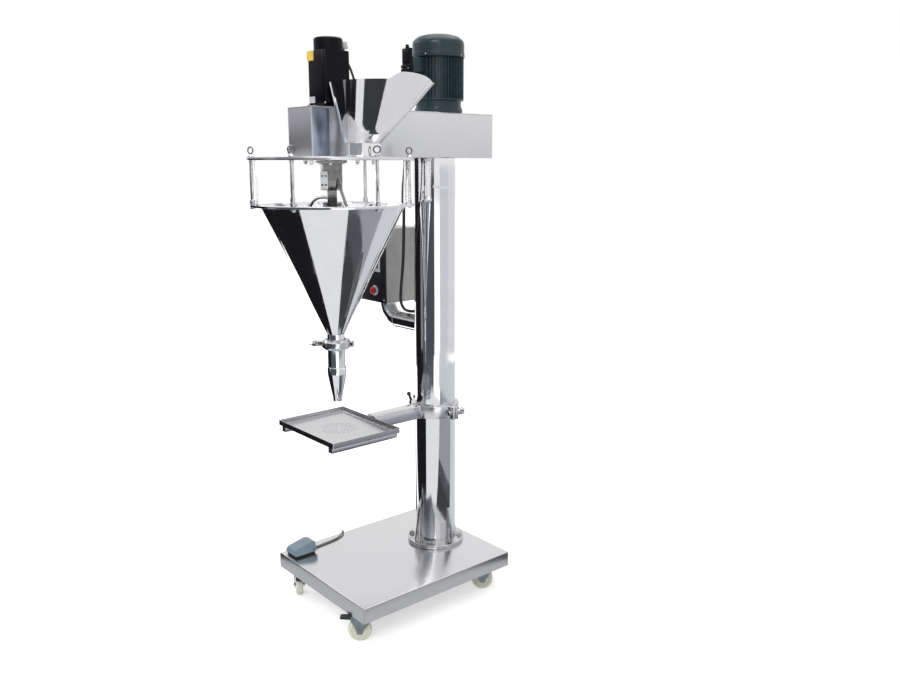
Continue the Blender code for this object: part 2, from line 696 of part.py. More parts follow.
def make_motor_body():
    flange_thickness = 0.010
    neck_radius = 0.079
    bore = MOTOR_SHAFT_RADIUS + GAP
    root = MOTOR_FIN_RADIUS - MOTOR_FIN_DEPTH
    profile = [(root, MOTOR_TOP), (root, MOTOR_NECK_TOP), (neck_radius, MOTOR_NECK_TOP),
               (neck_radius, MOTOR_BOTTOM + flange_thickness),
               (MOTOR_FLANGE_RADIUS, MOTOR_BOTTOM + flange_thickness),
               (MOTOR_FLANGE_RADIUS, MOTOR_BOTTOM), (bore, MOTOR_BOTTOM), (bore, MOTOR_TOP)]
    body = turned("motor_body", profile, at(0, MOTOR_SETBACK, 0), MOTOR_PAINT, closed=True)
    fin_points = []
    fin_share = 0.36 / MOTOR_FINS
    for index in range(MOTOR_FINS):
        middle = index / MOTOR_FINS
        for radius, share in ((root - 0.002, -fin_share), (MOTOR_FIN_RADIUS, -fin_share * 0.7),
                              (MOTOR_FIN_RADIUS, fin_share * 0.7), (root - 0.002, fin_share)):
            angle = math.tau * (middle + share)
            fin_points.append((radius * math.cos(angle), radius * math.sin(angle)))
    fin_height = MOTOR_BODY_HEIGHT - 0.002
    hole = circle(root - 0.005, ROUND)
    fins = outline("motor_fins", [fin_points, hole], fin_height,
                   at(0, MOTOR_SETBACK, MOTOR_NECK_TOP + 0.001 + fin_height / 2))
    join(body, fins)
    pad_front = TERMINAL_REACH - TERMINAL_DEPTH
    pad_back = 0.070
    pad_size = (TERMINAL_WIDTH - 0.006, pad_front - pad_back, TERMINAL_HEIGHT - 0.006)
    join(body, block("motor_pad", pad_size, at(0, MOTOR_SETBACK - (pad_front + pad_back) / 2,
                                               MOTOR_TOP - COVER_OVERLAP - GAP
                                               - TERMINAL_HEIGHT / 2)))
    return body


def make_fan_cover():
    bottom = MOTOR_TOP - COVER_OVERLAP
    inner = MOTOR_FIN_RADIUS / math.cos(math.pi / ROUND) + GAP
    outer = inner + THIN_SHEET
    top = bottom + MOTOR_COVER_HEIGHT
    grille = 0.020
    profile = [(grille, top), (0.062, top - 0.003), (0.080, top - 0.012), (outer, top - 0.030),
               (outer, bottom), (inner, bottom), (inner, top - 0.031), (0.078, top - 0.014),
               (0.061, top - 0.005), (grille, top - 0.002)]
    return turned("motor_fan_cover", profile, at(0, MOTOR_SETBACK, 0), MOTOR_PAINT, closed=True)


def make_motor_rotor():
    """Shaft with the cooling fan keyed on its upper end."""
    fan_bottom = MOTOR_TOP + 0.006
    fan_height = 0.016
    shaft_bottom = PULLEY_BOTTOM + GAP
    rotor = rod("motor_rotor", MOTOR_SHAFT_RADIUS, at(0, MOTOR_SETBACK, shaft_bottom),
                at(0, MOTOR_SETBACK, fan_bottom + fan_height), CAST_IRON)
    hub = circle(0.020, 12)
    join(rotor, outline("fan_hub", [hub], fan_height,
                        at(0, MOTOR_SETBACK, fan_bottom + fan_height / 2)))
    blade_length = 0.056
    for blade in range(6):
        angle = 60 * blade
        middle = 0.016 + blade_length / 2
        x = middle * math.cos(math.radians(angle))
        y = middle * math.sin(math.radians(angle))
        join(rotor, block("fan_blade", (blade_length, 0.003, fan_height - 0.002),
                          at(x, MOTOR_SETBACK + y, fan_bottom + fan_height / 2),
                          turn=(0, 0, angle)))
    return rotor


def make_terminal_box():
    back = TERMINAL_REACH - TERMINAL_DEPTH + GAP
    depth = TERMINAL_REACH - back
    bottom = MOTOR_TOP - COVER_OVERLAP - GAP - TERMINAL_HEIGHT
    lower_height = TERMINAL_HEIGHT * 0.48
    box = block("motor_terminal_box", (TERMINAL_WIDTH, depth, lower_height),
                at(0, MOTOR_SETBACK - back - depth / 2, bottom + lower_height / 2), BLACK_PAINT,
                rounding=0.003)
    upper_depth = depth * 0.8
    upper_height = TERMINAL_HEIGHT
    sink = 0.004
    upper_bottom = bottom + lower_height - sink
    join(box, block("terminal_upper", (TERMINAL_WIDTH * 0.84, upper_depth, upper_height),
                    at(0, MOTOR_SETBACK - back - upper_depth / 2,
                       upper_bottom + upper_height / 2), rounding=0.003))
    gland_radius = upper_depth * 0.45
    join(box, rod("terminal_gland", gland_radius,
                  at(0, MOTOR_SETBACK - back - upper_depth / 2, upper_bottom + upper_height - 0.004),
                  at(0, MOTOR_SETBACK - back - upper_depth / 2, upper_bottom + upper_height + 0.012),
                  BLACK_PAINT))
    return box


def make_pulley(name, y, groove, bore):
    rim = groove + PULLEY_RIM
    top = PULLEY_BOTTOM + PULLEY_HEIGHT
    middle = PULLEY_BOTTOM + PULLEY_HEIGHT / 2
    half = BELT_WIDTH / 2 + GAP
    profile = [(rim, top), (rim, middle + half), (groove, middle + half), (groove, middle - half),
               (rim, middle - half), (rim, PULLEY_BOTTOM), (bore, PULLEY_BOTTOM), (bore, top)]
    return turned(name, profile, at(0, y, 0), CAST_IRON, steps=SMALL_ROUND, closed=True)


def belt_ring(drive_radius, driven_radius):
    """The belt's path: an arc round each pulley, joined by the common tangents."""
    reach = HOPPER_REACH + MOTOR_SETBACK
    lean = math.degrees(math.asin((driven_radius - drive_radius) / reach))
    drive = arc(drive_radius, lean, 180 - lean, 16, 0.0, MOTOR_SETBACK)
    driven = arc(driven_radius, 180 - lean, 360 + lean, 24, 0.0, -HOPPER_REACH)
    return drive + driven


def make_belt():
    inner = belt_ring(DRIVE_GROOVE_RADIUS + GAP, DRIVEN_GROOVE_RADIUS + GAP)
    outer = belt_ring(DRIVE_GROOVE_RADIUS + GAP + BELT_THICKNESS,
                      DRIVEN_GROOVE_RADIUS + GAP + BELT_THICKNESS)
    return outline("drive_belt", [outer, inner], BELT_WIDTH,
                   at(0, 0, PULLEY_BOTTOM + PULLEY_HEIGHT / 2), BELT_RUBBER)


# Servo motor

SERVO_BOTTOM = HOUSING_TOP + GAP
SERVO_TOP = SERVO_BOTTOM + SERVO_HEIGHT
SERVO_CABLE_END_Y = SERVO_CABLE_REACH - HOPPER_REACH
CONNECTOR_BOTTOM = SERVO_TOP + CONNECTOR_LIFT


def make_servo():
    servo = block("servo_motor", (SERVO_WIDTH, SERVO_WIDTH, SERVO_HEIGHT),
                  at(0, -HOPPER_REACH, SERVO_BOTTOM + SERVO_HEIGHT / 2), BLACK_PAINT,
                  rounding=0.008)
    drill(servo, SERVO_SHAFT_RADIUS + GAP, at(0, -HOPPER_REACH, SERVO_BOTTOM - SHEET),
          at(0, -HOPPER_REACH, SERVO_BOTTOM + SERVO_BORE_DEPTH))
    return servo


def make_encoder():
    bottom = SERVO_TOP + GAP
    top = bottom + ENCODER_HEIGHT
    profile = [(0.0, top), (ENCODER_RADIUS - 0.010, top - 0.001), (ENCODER_RADIUS, top - 0.005),
               (ENCODER_RADIUS, bottom), (0.0, bottom)]
    encoder = turned("servo_encoder", profile, at(0, -HOPPER_REACH, 0), BLACK_PAINT)
    inner = ENCODER_RADIUS - 0.006
    depth = CONNECTOR_REACH - inner
    middle = at(0, -HOPPER_REACH + inner + depth / 2, CONNECTOR_BOTTOM + CONNECTOR_HEIGHT / 2)
    join(encoder, block("servo_connector", (CONNECTOR_WIDTH, depth, CONNECTOR_HEIGHT), middle))
    return encoder


def make_servo_cable():
    start = CONNECTOR_REACH - CONNECTOR_OVERHANG - HOPPER_REACH
    end = SERVO_CABLE_END_Y
    route = [at(0, start, CONNECTOR_BOTTOM - GAP), at(0, start, CONNECTOR_BOTTOM - 0.011),
             at(0, start, CONNECTOR_BOTTOM - 0.024), at(0, start + 0.022, CONNECTOR_BOTTOM - 0.054),
             at(0, end - 0.017, HOUSING_TOP + 0.093), at(0, end - 0.006, HOUSING_TOP + 0.053),
             at(0, end, HOUSING_TOP + 0.023), at(0, end, HOUSING_TOP + 0.008),
             at(0, end, HOUSING_TOP - 0.017)]
    return wire("servo_cable", smooth_route(route, 0.016), SERVO_CABLE_RADIUS, BLACK_PLASTIC)


def make_servo_shaft():
    meet = COUPLING_BOTTOM + COUPLING_HEIGHT / 2 + GAP
    return rod("servo_shaft", SERVO_SHAFT_RADIUS, at(0, -HOPPER_REACH, meet),
               at(0, -HOPPER_REACH, SERVO_BOTTOM + SERVO_BORE_DEPTH - SHEET), CAST_IRON)


def make_coupling():
    top = COUPLING_BOTTOM + COUPLING_HEIGHT
    middle = COUPLING_BOTTOM + COUPLING_HEIGHT / 2
    upper = SERVO_SHAFT_RADIUS + GAP
    lower = AUGER_SHAFT_RADIUS + GAP
    profile = [(COUPLING_RADIUS, top), (COUPLING_RADIUS, COUPLING_BOTTOM),
               (lower, COUPLING_BOTTOM), (lower, middle), (upper, middle), (upper, top)]
    return turned("auger_coupling", profile, at(0, -HOPPER_REACH, 0), CAST_IRON,
                  steps=SMALL_ROUND, closed=True)


# Auger, stirrer and bearing

def make_auger():
    shaft_top = COUPLING_BOTTOM + COUPLING_HEIGHT / 2 - GAP
    shaft_bottom = AUGER_FLIGHT_BOTTOM - 0.004
    auger = rod("auger_screw", AUGER_SHAFT_RADIUS, at(0, -HOPPER_REACH, shaft_bottom),
                at(0, -HOPPER_REACH, shaft_top), POLISHED)
    bm = bmesh.new()
    root = AUGER_SHAFT_RADIUS - 0.002
    corners = [(root, 0.0), (AUGER_FLIGHT_RADIUS, 0.0),
               (AUGER_FLIGHT_RADIUS, AUGER_FLIGHT_THICKNESS), (root, AUGER_FLIGHT_THICKNESS)]
    face = bm.faces.new([bm.verts.new((radius, 0.0, height)) for radius, height in corners])
    steps = 12 * AUGER_TURNS
    bmesh.ops.spin(bm, geom=[face], cent=(0, 0, 0), axis=(0, 0, 1), angle=math.tau * AUGER_TURNS,
                   steps=steps, dvec=(0, 0, AUGER_PITCH * AUGER_TURNS / steps))
    bmesh.ops.triangulate(bm, faces=bm.faces)
    bmesh.ops.recalc_face_normals(bm, faces=bm.faces)
    flight = add_object("auger_flight", mesh_of(bm, "auger_flight"), None,
                        at(0, -HOPPER_REACH, AUGER_FLIGHT_BOTTOM))
    return join(auger, flight)


def cone_radius(height):
    """Inner radius of the hopper's cone at a height above the floor."""
    share = (height - CONE_BOTTOM) / CONE_HEIGHT
    return NECK_RADIUS + share * (CONE_TOP_RADIUS - NECK_RADIUS) - THIN_SHEET


def make_stirrer():
    sleeve_top = PULLEY_BOTTOM + PULLEY_HEIGHT + 0.004
    hub_top = BEARING_BOTTOM - GAP
    profile = [(SLEEVE_RADIUS, sleeve_top), (SLEEVE_RADIUS, hub_top),
               (STIRRER_HUB_RADIUS, hub_top), (STIRRER_HUB_RADIUS, STIRRER_HUB_BOTTOM),
               (SLEEVE_RADIUS, STIRRER_HUB_BOTTOM), (SLEEVE_RADIUS, SLEEVE_BOTTOM),
               (SLEEVE_BORE, SLEEVE_BOTTOM), (SLEEVE_BORE, sleeve_top)]
    stirrer = turned("stirrer", profile, at(0, -HOPPER_REACH, 0), POLISHED, steps=SMALL_ROUND,
                     closed=True)

    def along_wall(height):
        return cone_radius(height) - STIRRER_WALL_GAP, height

    root = STIRRER_HUB_BOTTOM - 0.024
    right = [(STIRRER_HUB_RADIUS - 0.007, STIRRER_HUB_BOTTOM + 0.042),
             (STIRRER_ELBOW_REACH, STIRRER_HUB_BOTTOM - 0.066), along_wall(RING_BOTTOM - 0.124),
             along_wall(CONE_BOTTOM + 0.066)]
    left = [(SLEEVE_RADIUS - 0.003, root), (STIRRER_TURN_REACH / 2, root),
            (STIRRER_TURN_REACH - 0.030, root - 0.008), (STIRRER_TURN_REACH, root - 0.027),
            along_wall(RING_BOTTOM - 0.074), along_wall(CONE_BOTTOM + 0.086)]
    for name, side, route in (("right", 1, right), ("left", -1, left)):
        points = [at(side * x, -HOPPER_REACH, z) for x, z in route]
        join(stirrer, wire("stirrer_arm_" + name, points, STIRRER_ROD_RADIUS))
    return stirrer


def make_bearing():
    seat = HOUSING_BOTTOM + SHEET + 0.001 + GAP
    top = seat + 0.008
    bore = SLEEVE_RADIUS + GAP
    profile = [(BEARING_FLANGE_RADIUS, top), (BEARING_FLANGE_RADIUS, seat),
               (BEARING_RADIUS, seat), (BEARING_RADIUS, BEARING_BOTTOM), (bore, BEARING_BOTTOM),
               (bore, top)]
    return turned("bearing_housing", profile, at(0, -HOPPER_REACH, 0), POLISHED,
                  steps=SMALL_ROUND, closed=True)


# Hopper

def post_places():
    return circle(POST_CIRCLE, POST_COUNT, 0.0, -HOPPER_REACH)


def make_hopper_lid():
    profile = [(LID_RADIUS, LID_TOP), (LID_RADIUS, LID_BOTTOM),
               (BEARING_RADIUS + GAP, LID_BOTTOM), (BEARING_RADIUS + GAP, LID_TOP)]
    lid = turned("hopper_lid", profile, at(0, -HOPPER_REACH, 0), BRUSHED, closed=True)
    port = PORT_RADIUS - THIN_SHEET
    holes = [(PORT_X, PORT_Y, port, SMALL_ROUND)]
    holes += [(x, y, POST_RADIUS + GAP, 12) for x, y in post_places()]
    for x, y, radius, sides in holes:
        drill(lid, radius, at(x, y, LID_BOTTOM - SHEET), at(x, y, LID_TOP + SHEET), sides=sides)
    return lid


def make_hopper_cylinder():
    top = LID_BOTTOM - GAP
    bottom = RING_TOP + GAP
    inner = CYLINDER_RADIUS - CYLINDER_WALL
    profile = [(CYLINDER_RADIUS, top), (CYLINDER_RADIUS, bottom), (inner, bottom), (inner, top)]
    return turned("hopper_cylinder", profile, at(0, -HOPPER_REACH, 0), CLEAR_ACRYLIC, closed=True)


def make_hopper_cone():
    neck_bottom = JOINT_HEIGHT + GAP / 2
    flange_top = neck_bottom + FERRULE_THICKNESS
    bore = NECK_RADIUS - OUTLET_WALL
    inner = CONE_TOP_RADIUS - THIN_SHEET
    profile = [(RING_RADIUS, RING_TOP), (RING_RADIUS, RING_BOTTOM), (CONE_TOP_RADIUS, RING_BOTTOM),
               (NECK_RADIUS, CONE_BOTTOM), (NECK_RADIUS, flange_top), (FERRULE_RADIUS, flange_top),
               (FERRULE_RADIUS, neck_bottom), (bore, neck_bottom), (bore, CONE_BOTTOM),
               (inner, RING_BOTTOM), (inner, RING_TOP)]
    cone = turned("hopper_cone", profile, at(0, -HOPPER_REACH, 0), POLISHED, closed=True)
    for x, y in post_places():
        drill(cone, POST_RADIUS + GAP, at(x, y, RING_BOTTOM - SHEET), at(x, y, RING_TOP + SHEET),
              sides=12)
    return cone


def make_tie_rods():
    """Six rods that draw the lid down on the cylinder, each with its nuts and lifting eye."""
    nut = TIE_NUT_RADIUS
    head = LID_TOP + TIE_HEAD_HEIGHT
    collar = RING_TOP + TIE_COLLAR_HEIGHT
    end = RING_BOTTOM - TIE_NUT_HEIGHT
    profile = [(0.0, head), (nut, head), (nut, LID_TOP + GAP), (POST_RADIUS, LID_TOP + GAP),
               (POST_RADIUS, collar), (nut, collar), (nut, RING_TOP + GAP),
               (POST_RADIUS, RING_TOP + GAP), (POST_RADIUS, RING_BOTTOM - GAP),
               (nut, RING_BOTTOM - GAP), (nut, end), (0.0, end)]
    tie = turned("tie_rod", profile, Vector((0, 0, 0)), steps=8)
    eye = [Vector((x, 0, head + EYE_LIFT + y)) for x, y in circle(EYE_RADIUS, 12)]
    ring = wire("tie_eye", eye, EYE_WIRE, resolution=0, closed=True)
    join(tie, ring)
    mesh = template(tie, POLISHED)
    for index, (x, y) in enumerate(post_places()):
        heading = 360 * index / POST_COUNT
        add_object("tie_rod_" + str(index + 1), mesh, None, at(x, y, 0), (0, 0, heading + 90))


def make_funnel():
    """Oblique cone on a short round port, with its rim raised on the outer side."""
    wall = THIN_SHEET
    seat = LID_TOP + GAP
    flange_top = seat + SHEET
    port_top = seat + PORT_HEIGHT
    rim_top = port_top + FUNNEL_HEIGHT

    def rim_height(angle):
        away = (math.degrees(angle) - FUNNEL_LIP_HEADING + 180) % 360 - 180
        spread = FUNNEL_LIP_REAR if away > 0 else FUNNEL_LIP_FRONT
        if abs(away) >= spread:
            return 0.0
        return FUNNEL_LIP * math.cos(math.radians(90 * away / spread))

    def level(radius, x, y, z, raised=False, inset=0.0):
        ring = []
        for index in range(FUNNEL_SIDES):
            angle = math.tau * index / FUNNEL_SIDES
            lift = rim_height(angle) if raised else 0.0
            share = 1 + lift / FUNNEL_HEIGHT
            grown = PORT_RADIUS + (radius - PORT_RADIUS) * share if raised else radius
            middle_x = PORT_X + (x - PORT_X) * share if raised else x
            middle_y = PORT_Y + (y - PORT_Y) * share if raised else y
            ring.append(at(middle_x + (grown - inset) * math.cos(angle),
                           middle_y + (grown - inset) * math.sin(angle), z + lift))
        return ring

    levels = [level(PORT_FLANGE_RADIUS, PORT_X, PORT_Y, seat),
              level(PORT_FLANGE_RADIUS, PORT_X, PORT_Y, flange_top),
              level(PORT_RADIUS, PORT_X, PORT_Y, flange_top),
              level(PORT_RADIUS, PORT_X, PORT_Y, port_top),
              level(FUNNEL_RADIUS, FUNNEL_X, FUNNEL_Y, rim_top, raised=True),
              level(FUNNEL_RADIUS, FUNNEL_X, FUNNEL_Y, rim_top, raised=True, inset=wall),
              level(PORT_RADIUS - wall, PORT_X, PORT_Y, port_top),
              level(PORT_RADIUS - wall, PORT_X, PORT_Y, seat)]
    bm = bmesh.new()
    rings = [[bm.verts.new(point) for point in ring] for ring in levels]
    for lower, upper in zip(rings, rings[1:] + rings[:1]):
        for index in range(FUNNEL_SIDES):
            after = (index + 1) % FUNNEL_SIDES
            bm.faces.new((lower[index], lower[after], upper[after], upper[index]))
    bmesh.ops.recalc_face_normals(bm, faces=bm.faces)
    mesh = mesh_of(bm, "feed_funnel")
    mesh.shade_smooth()
    mesh.set_sharp_from_angle(angle=math.radians(40))
    return add_object("feed_funnel", mesh, POLISHED)


FUNNEL_SIDES = 40


# Outlet

def make_auger_tube():
    top = JOINT_HEIGHT - GAP / 2
    flange_bottom = top - FERRULE_THICKNESS
    bore = NECK_RADIUS - OUTLET_WALL
    profile = [(FERRULE_RADIUS, top), (FERRULE_RADIUS, flange_bottom), (NECK_RADIUS, flange_bottom),
               (NECK_RADIUS, TUBE_BOTTOM), (bore, TUBE_BOTTOM), (bore, top)]
    return turned("auger_tube", profile, at(0, -HOPPER_REACH, 0), POLISHED, closed=True)


def make_nozzle():
    seat = TUBE_BOTTOM - GAP
    bore = NECK_RADIUS - OUTLET_WALL
    profile = [(NOZZLE_COLLAR_RADIUS, NOZZLE_TOP), (NOZZLE_COLLAR_RADIUS, NOZZLE_SHOULDER),
               (NECK_RADIUS, NOZZLE_SHOULDER - 0.001), (NOZZLE_TIP_RADIUS, NOZZLE_BOTTOM),
               (NOZZLE_TIP_RADIUS - OUTLET_WALL, NOZZLE_BOTTOM), (bore, NOZZLE_SHOULDER),
               (bore, seat), (NECK_RADIUS + GAP, seat), (NECK_RADIUS + GAP, NOZZLE_TOP)]
    return turned("auger_nozzle", profile, at(0, -HOPPER_REACH, 0), POLISHED, closed=True)


def make_outlet_clamp():
    """Two half rings round both ferrules, with ears at the hinge and at the wing bolt."""
    half = CLAMP_HEIGHT / 2
    groove = FERRULE_THICKNESS + GAP
    lip = NECK_RADIUS + 0.003
    groove_radius = FERRULE_RADIUS + GAP
    profile = [(CLAMP_RADIUS, half), (CLAMP_RADIUS, -half), (lip, -half), (lip, -groove),
               (groove_radius, -groove), (groove_radius, groove), (lip, groove), (lip, half)]
    ear_start = CLAMP_RADIUS - 0.004
    ear_end = CLAMP_BOLT_REACH + 0.009
    hinge_end = CLAMP_RADIUS + 0.012
    ear_thickness = 0.010
    ear_height = 0.018
    for name, side in (("outlet_clamp_front", -1), ("outlet_clamp_rear", 1)):
        ring = turned(name, profile, at(0, -HOPPER_REACH, JOINT_HEIGHT), POLISHED,
                      turn=(0, 0, CLAMP_TURN), closed=True)
        away = Matrix.Rotation(math.radians(CLAMP_TURN), 4, "Z")
        centre = at(0, -HOPPER_REACH, JOINT_HEIGHT)
        ears = ((-ear_end, -ear_start), (ear_start, hinge_end))
        for index, (first, last) in enumerate(ears):
            middle = Vector(((first + last) / 2, side * (CLAMP_SPLIT + ear_thickness / 2), 0))
            join(ring, block(name + "_ear_" + str(index), (last - first, ear_thickness, ear_height),
                             centre + away @ middle, turn=(0, 0, CLAMP_TURN)))
        waste = 0.200
        middle = Vector((0, -side * (waste / 2 - CLAMP_SPLIT), 0))
        cut(ring, block(name + "_split", (waste, waste, waste), centre + away @ middle,
                        turn=(0, 0, CLAMP_TURN)))
        reach = Vector((-CLAMP_BOLT_REACH, 0, 0))
        drill(ring, CLAMP_BOLT_RADIUS + GAP, centre + away @ (reach + Vector((0, -0.02, 0))),
              centre + away @ (reach + Vector((0, 0.02, 0))), sides=12)
    return ring


def make_wing_nut():
    """The clamp's bolt with its wing nut, along the bolt's own axis."""
    away = Matrix.Rotation(math.radians(CLAMP_TURN), 4, "Z")
    centre = at(0, -HOPPER_REACH, JOINT_HEIGHT)

    def along(offset):
        return centre + away @ Vector((-CLAMP_BOLT_REACH, offset, 0))

    face = CLAMP_SPLIT + 0.010 + GAP
    bolt = rod("outlet_clamp_wing_nut", CLAMP_BOLT_RADIUS, along(-face - 0.024), along(face + 0.003),
               POLISHED, sides=12)
    join(bolt, rod("wing_boss", 0.008, along(-face - WING_OFFSET), along(-face), sides=12))
    join(bolt, rod("bolt_head", 0.007, along(face), along(face + 0.006), sides=12))
    wing = [(0.004, -0.004), (WING_SPAN / 2 - 0.003, -0.010), (WING_SPAN / 2, -0.002),
            (0.004, 0.006)]
    for side in (1, -1):
        flipped = [(side * x, y) for x, y in wing]
        blade = outline("wing_blade", [flipped], 0.003, along(-face - 0.008),
                        turn=(0, 0, CLAMP_TURN))
        join(bolt, blade)
    return bolt


# Tray

ARM_MIDDLE = ARM_BOTTOM + ARM_HEIGHT / 2
COLLAR_RADIUS = COLUMN_RADIUS + GAP + COLLAR_WALL
RAIL_TOP = ARM_BOTTOM + 0.004 + RAIL
ARM_END = HOPPER_REACH - PAN_LENGTH / 2 - 0.0035


def collar_half(name, side, material):
    """Half of the split collar on the column, with an ear at each end."""
    bore = COLUMN_RADIUS + GAP
    top = ARM_BOTTOM + ARM_HEIGHT
    profile = [(COLLAR_RADIUS, top), (COLLAR_RADIUS, ARM_BOTTOM), (bore, ARM_BOTTOM), (bore, top)]
    half = turned(name, profile, at(0, 0, 0), material, closed=True)
    for ear in (-1, 1):
        inner = COLLAR_RADIUS - 0.006
        length = EAR_REACH - inner
        join(half, block(name + "_ear", (length, EAR_THICKNESS, ARM_HEIGHT),
                         at(ear * (inner + length / 2),
                            side * (COLLAR_SPLIT + EAR_THICKNESS / 2), ARM_MIDDLE)))
    waste = 0.300
    cut(half, block(name + "_split", (waste, waste, waste),
                    at(0, -side * (waste / 2 - COLLAR_SPLIT), ARM_MIDDLE)))
    return half


def drill_ears(thing):
    for ear in (-1, 1):
        x = ear * EAR_BOLT_REACH
        drill(thing, EAR_BOLT_RADIUS + GAP, at(x, -0.06, ARM_MIDDLE), at(x, 0.06, ARM_MIDDLE),
              sides=12)
    return thing


def make_tray_arm():
    arm = collar_half("tray_arm", -1, BRUSHED)
    weld = 0.004
    start = COLLAR_RADIUS - weld
    length = ARM_END - start
    beam_y = -(start + length / 2)
    join(arm, block("arm_beam", (ARM_WIDTH, length, ARM_HEIGHT), at(0, beam_y, ARM_MIDDLE)))
    hollow_length = length - weld - 2 * SHEET
    cut(arm, block("arm_hollow", (ARM_WIDTH - 2 * SHEET, hollow_length, ARM_HEIGHT),
                   at(0, -(COLLAR_RADIUS + SHEET + hollow_length / 2), ARM_MIDDLE - SHEET)))
    rail_length = PAN_LENGTH - 0.012
    rail_y = -(HOPPER_REACH + PAN_LENGTH / 2 - 0.006 - rail_length / 2)
    rail_z = RAIL_TOP - RAIL / 2
    for side in (-1, 1):
        join(arm, block("arm_rail", (RAIL, rail_length, RAIL),
                        at(side * RAIL_SPACING / 2, rail_y, rail_z)))
    cross_width = RAIL_SPACING + RAIL - 0.002
    cross_depth = 0.022
    join(arm, block("arm_cross", (cross_width, cross_depth, RAIL - 0.002),
                    at(0, -(ARM_END + cross_depth / 2 - 0.001), rail_z)))
    nut = circle(0.0150, 6)
    join(arm, outline("arm_nut", [nut], 0.014,
                      at(EAR_BOLT_REACH, -(COLLAR_SPLIT + EAR_THICKNESS + 0.006), ARM_MIDDLE),
                      turn=(90, 0, 0)))
    return drill_ears(arm)


def make_collar_rear():
    half = collar_half("tray_collar_rear", 1, BRUSHED)
    nut = circle(0.010, 6)
    join(half, outline("collar_nut", [nut], 0.010,
                       at(-EAR_BOLT_REACH, COLLAR_SPLIT + EAR_THICKNESS + 0.004, ARM_MIDDLE),
                       turn=(90, 0, 0)))
    return drill_ears(half)


def make_lock_lever():
    """Ratchet lever that draws the collar's left ears together."""
    face = COLLAR_SPLIT + EAR_THICKNESS + GAP
    x = -EAR_BOLT_REACH
    lever = rod("tray_lock_lever", EAR_BOLT_RADIUS, at(x, -face - 0.010, ARM_MIDDLE),
                at(x, face + 0.006, ARM_MIDDLE), BLACK_PLASTIC, sides=12)
    join(lever, rod("lever_hub", 0.010, at(x, -face - 0.026, ARM_MIDDLE),
                    at(x, -face, ARM_MIDDLE), sides=16))
    tilt = 0.006
    tip = at(x - tilt, -face - 0.026, ARM_MIDDLE + LEVER_LENGTH)
    join(lever, rod("lever_handle", 0.0055, at(x, -face - 0.017, ARM_MIDDLE), tip, sides=12))
    bm = bmesh.new()
    bmesh.ops.create_uvsphere(bm, u_segments=12, v_segments=8, radius=0.0085)
    ball = add_object("lever_ball", mesh_of(bm, "lever_ball"), None, tip)
    return join(lever, ball)


def make_lock_knob():
    """Lobed knob on the bolt of the collar's right ears."""
    face = COLLAR_SPLIT + EAR_THICKNESS + GAP
    x = EAR_BOLT_REACH
    knob = rod("tray_lock_knob", EAR_BOLT_RADIUS, at(x, -face - 0.016, ARM_MIDDLE),
               at(x, face + 0.010, ARM_MIDDLE), CAST_IRON, sides=12)
    join(knob, rod("knob_neck", 0.009, at(x, face, ARM_MIDDLE), at(x, face + 0.016, ARM_MIDDLE),
                   sides=12))
    lobes = []
    for index in range(15):
        angle = math.tau * index / 15
        radius = KNOB_RADIUS if index % 3 else KNOB_RADIUS * 0.78
        lobes.append((radius * math.cos(angle), radius * math.sin(angle)))
    join(knob, outline("knob_grip", [lobes], 0.018, at(x, face + 0.024, ARM_MIDDLE),
                       turn=(90, 0, 0)))
    return knob


def make_pan():
    bottom = RAIL_TOP + GAP
    pan = block("tray_pan", (PAN_WIDTH, PAN_LENGTH, PAN_DEPTH),
                at(0, -HOPPER_REACH, bottom + PAN_DEPTH / 2), BRUSHED)
    inside = (PAN_WIDTH - 2 * PAN_SHEET, PAN_LENGTH - 2 * PAN_SHEET, PAN_DEPTH)
    cut(pan, block("pan_inside", inside,
                   at(0, -HOPPER_REACH, bottom + PAN_SHEET + PAN_DEPTH / 2)))
    holes = [(0.0, 0.0)]
    for ring in range(1, PAN_HOLE_RINGS + 1):
        holes += circle(ring * PAN_HOLE_PITCH, 6 * ring)
    for index, (x, y) in enumerate(holes):
        drill(pan, PAN_HOLE_RADIUS, at(x, y - HOPPER_REACH, bottom - PAN_SHEET),
              at(x, y - HOPPER_REACH, bottom + 3 * PAN_SHEET), sides=6)
    return pan


# Control box

BOX_FRONT = -BOX_DEPTH / 2 + DOOR_THICKNESS + GAP


def make_elbow():
    """Pipe from inside the column, level and then up into the control box."""
    start = -(COLUMN_RADIUS - 0.006)
    corner = BOX_X + ELBOW_BEND
    top = BOX_BOTTOM + 0.012
    steps = 8
    route = [at(start, 0, ELBOW_HEIGHT)]
    for index in range(steps + 1):
        angle = math.pi / 2 * index / steps
        route.append(at(corner - ELBOW_BEND * math.sin(angle), 0,
                        ELBOW_HEIGHT + ELBOW_BEND * (1 - math.cos(angle))))
    route.append(at(BOX_X, 0, top))
    elbow = wire("control_elbow", route, ELBOW_RADIUS, POLISHED, resolution=4)
    overcut = 0.004
    bore_route = [route[0] + Vector((overcut, 0, 0)), *route[1:-1],
                  route[-1] + Vector((0, 0, overcut))]
    return cut(elbow, wire("elbow_bore", bore_route, ELBOW_RADIUS - SHEET, resolution=4))


def make_control_box():
    depth = BOX_DEPTH / 2 - BOX_FRONT
    middle_y = BOX_FRONT + depth / 2
    middle_z = BOX_BOTTOM + BOX_HEIGHT / 2
    box = block("control_box", (BOX_WIDTH, depth, BOX_HEIGHT), at(BOX_X, middle_y, middle_z),
                GREY_PAINT)
    inside = (BOX_WIDTH - 2 * THIN_SHEET, depth, BOX_HEIGHT - 2 * THIN_SHEET)
    cut(box, block("box_inside", inside, at(BOX_X, middle_y - THIN_SHEET, middle_z)))
    drill(box, ELBOW_RADIUS + GAP, at(BOX_X, 0, BOX_BOTTOM - SHEET),
          at(BOX_X, 0, BOX_BOTTOM + 2 * SHEET))
    return box


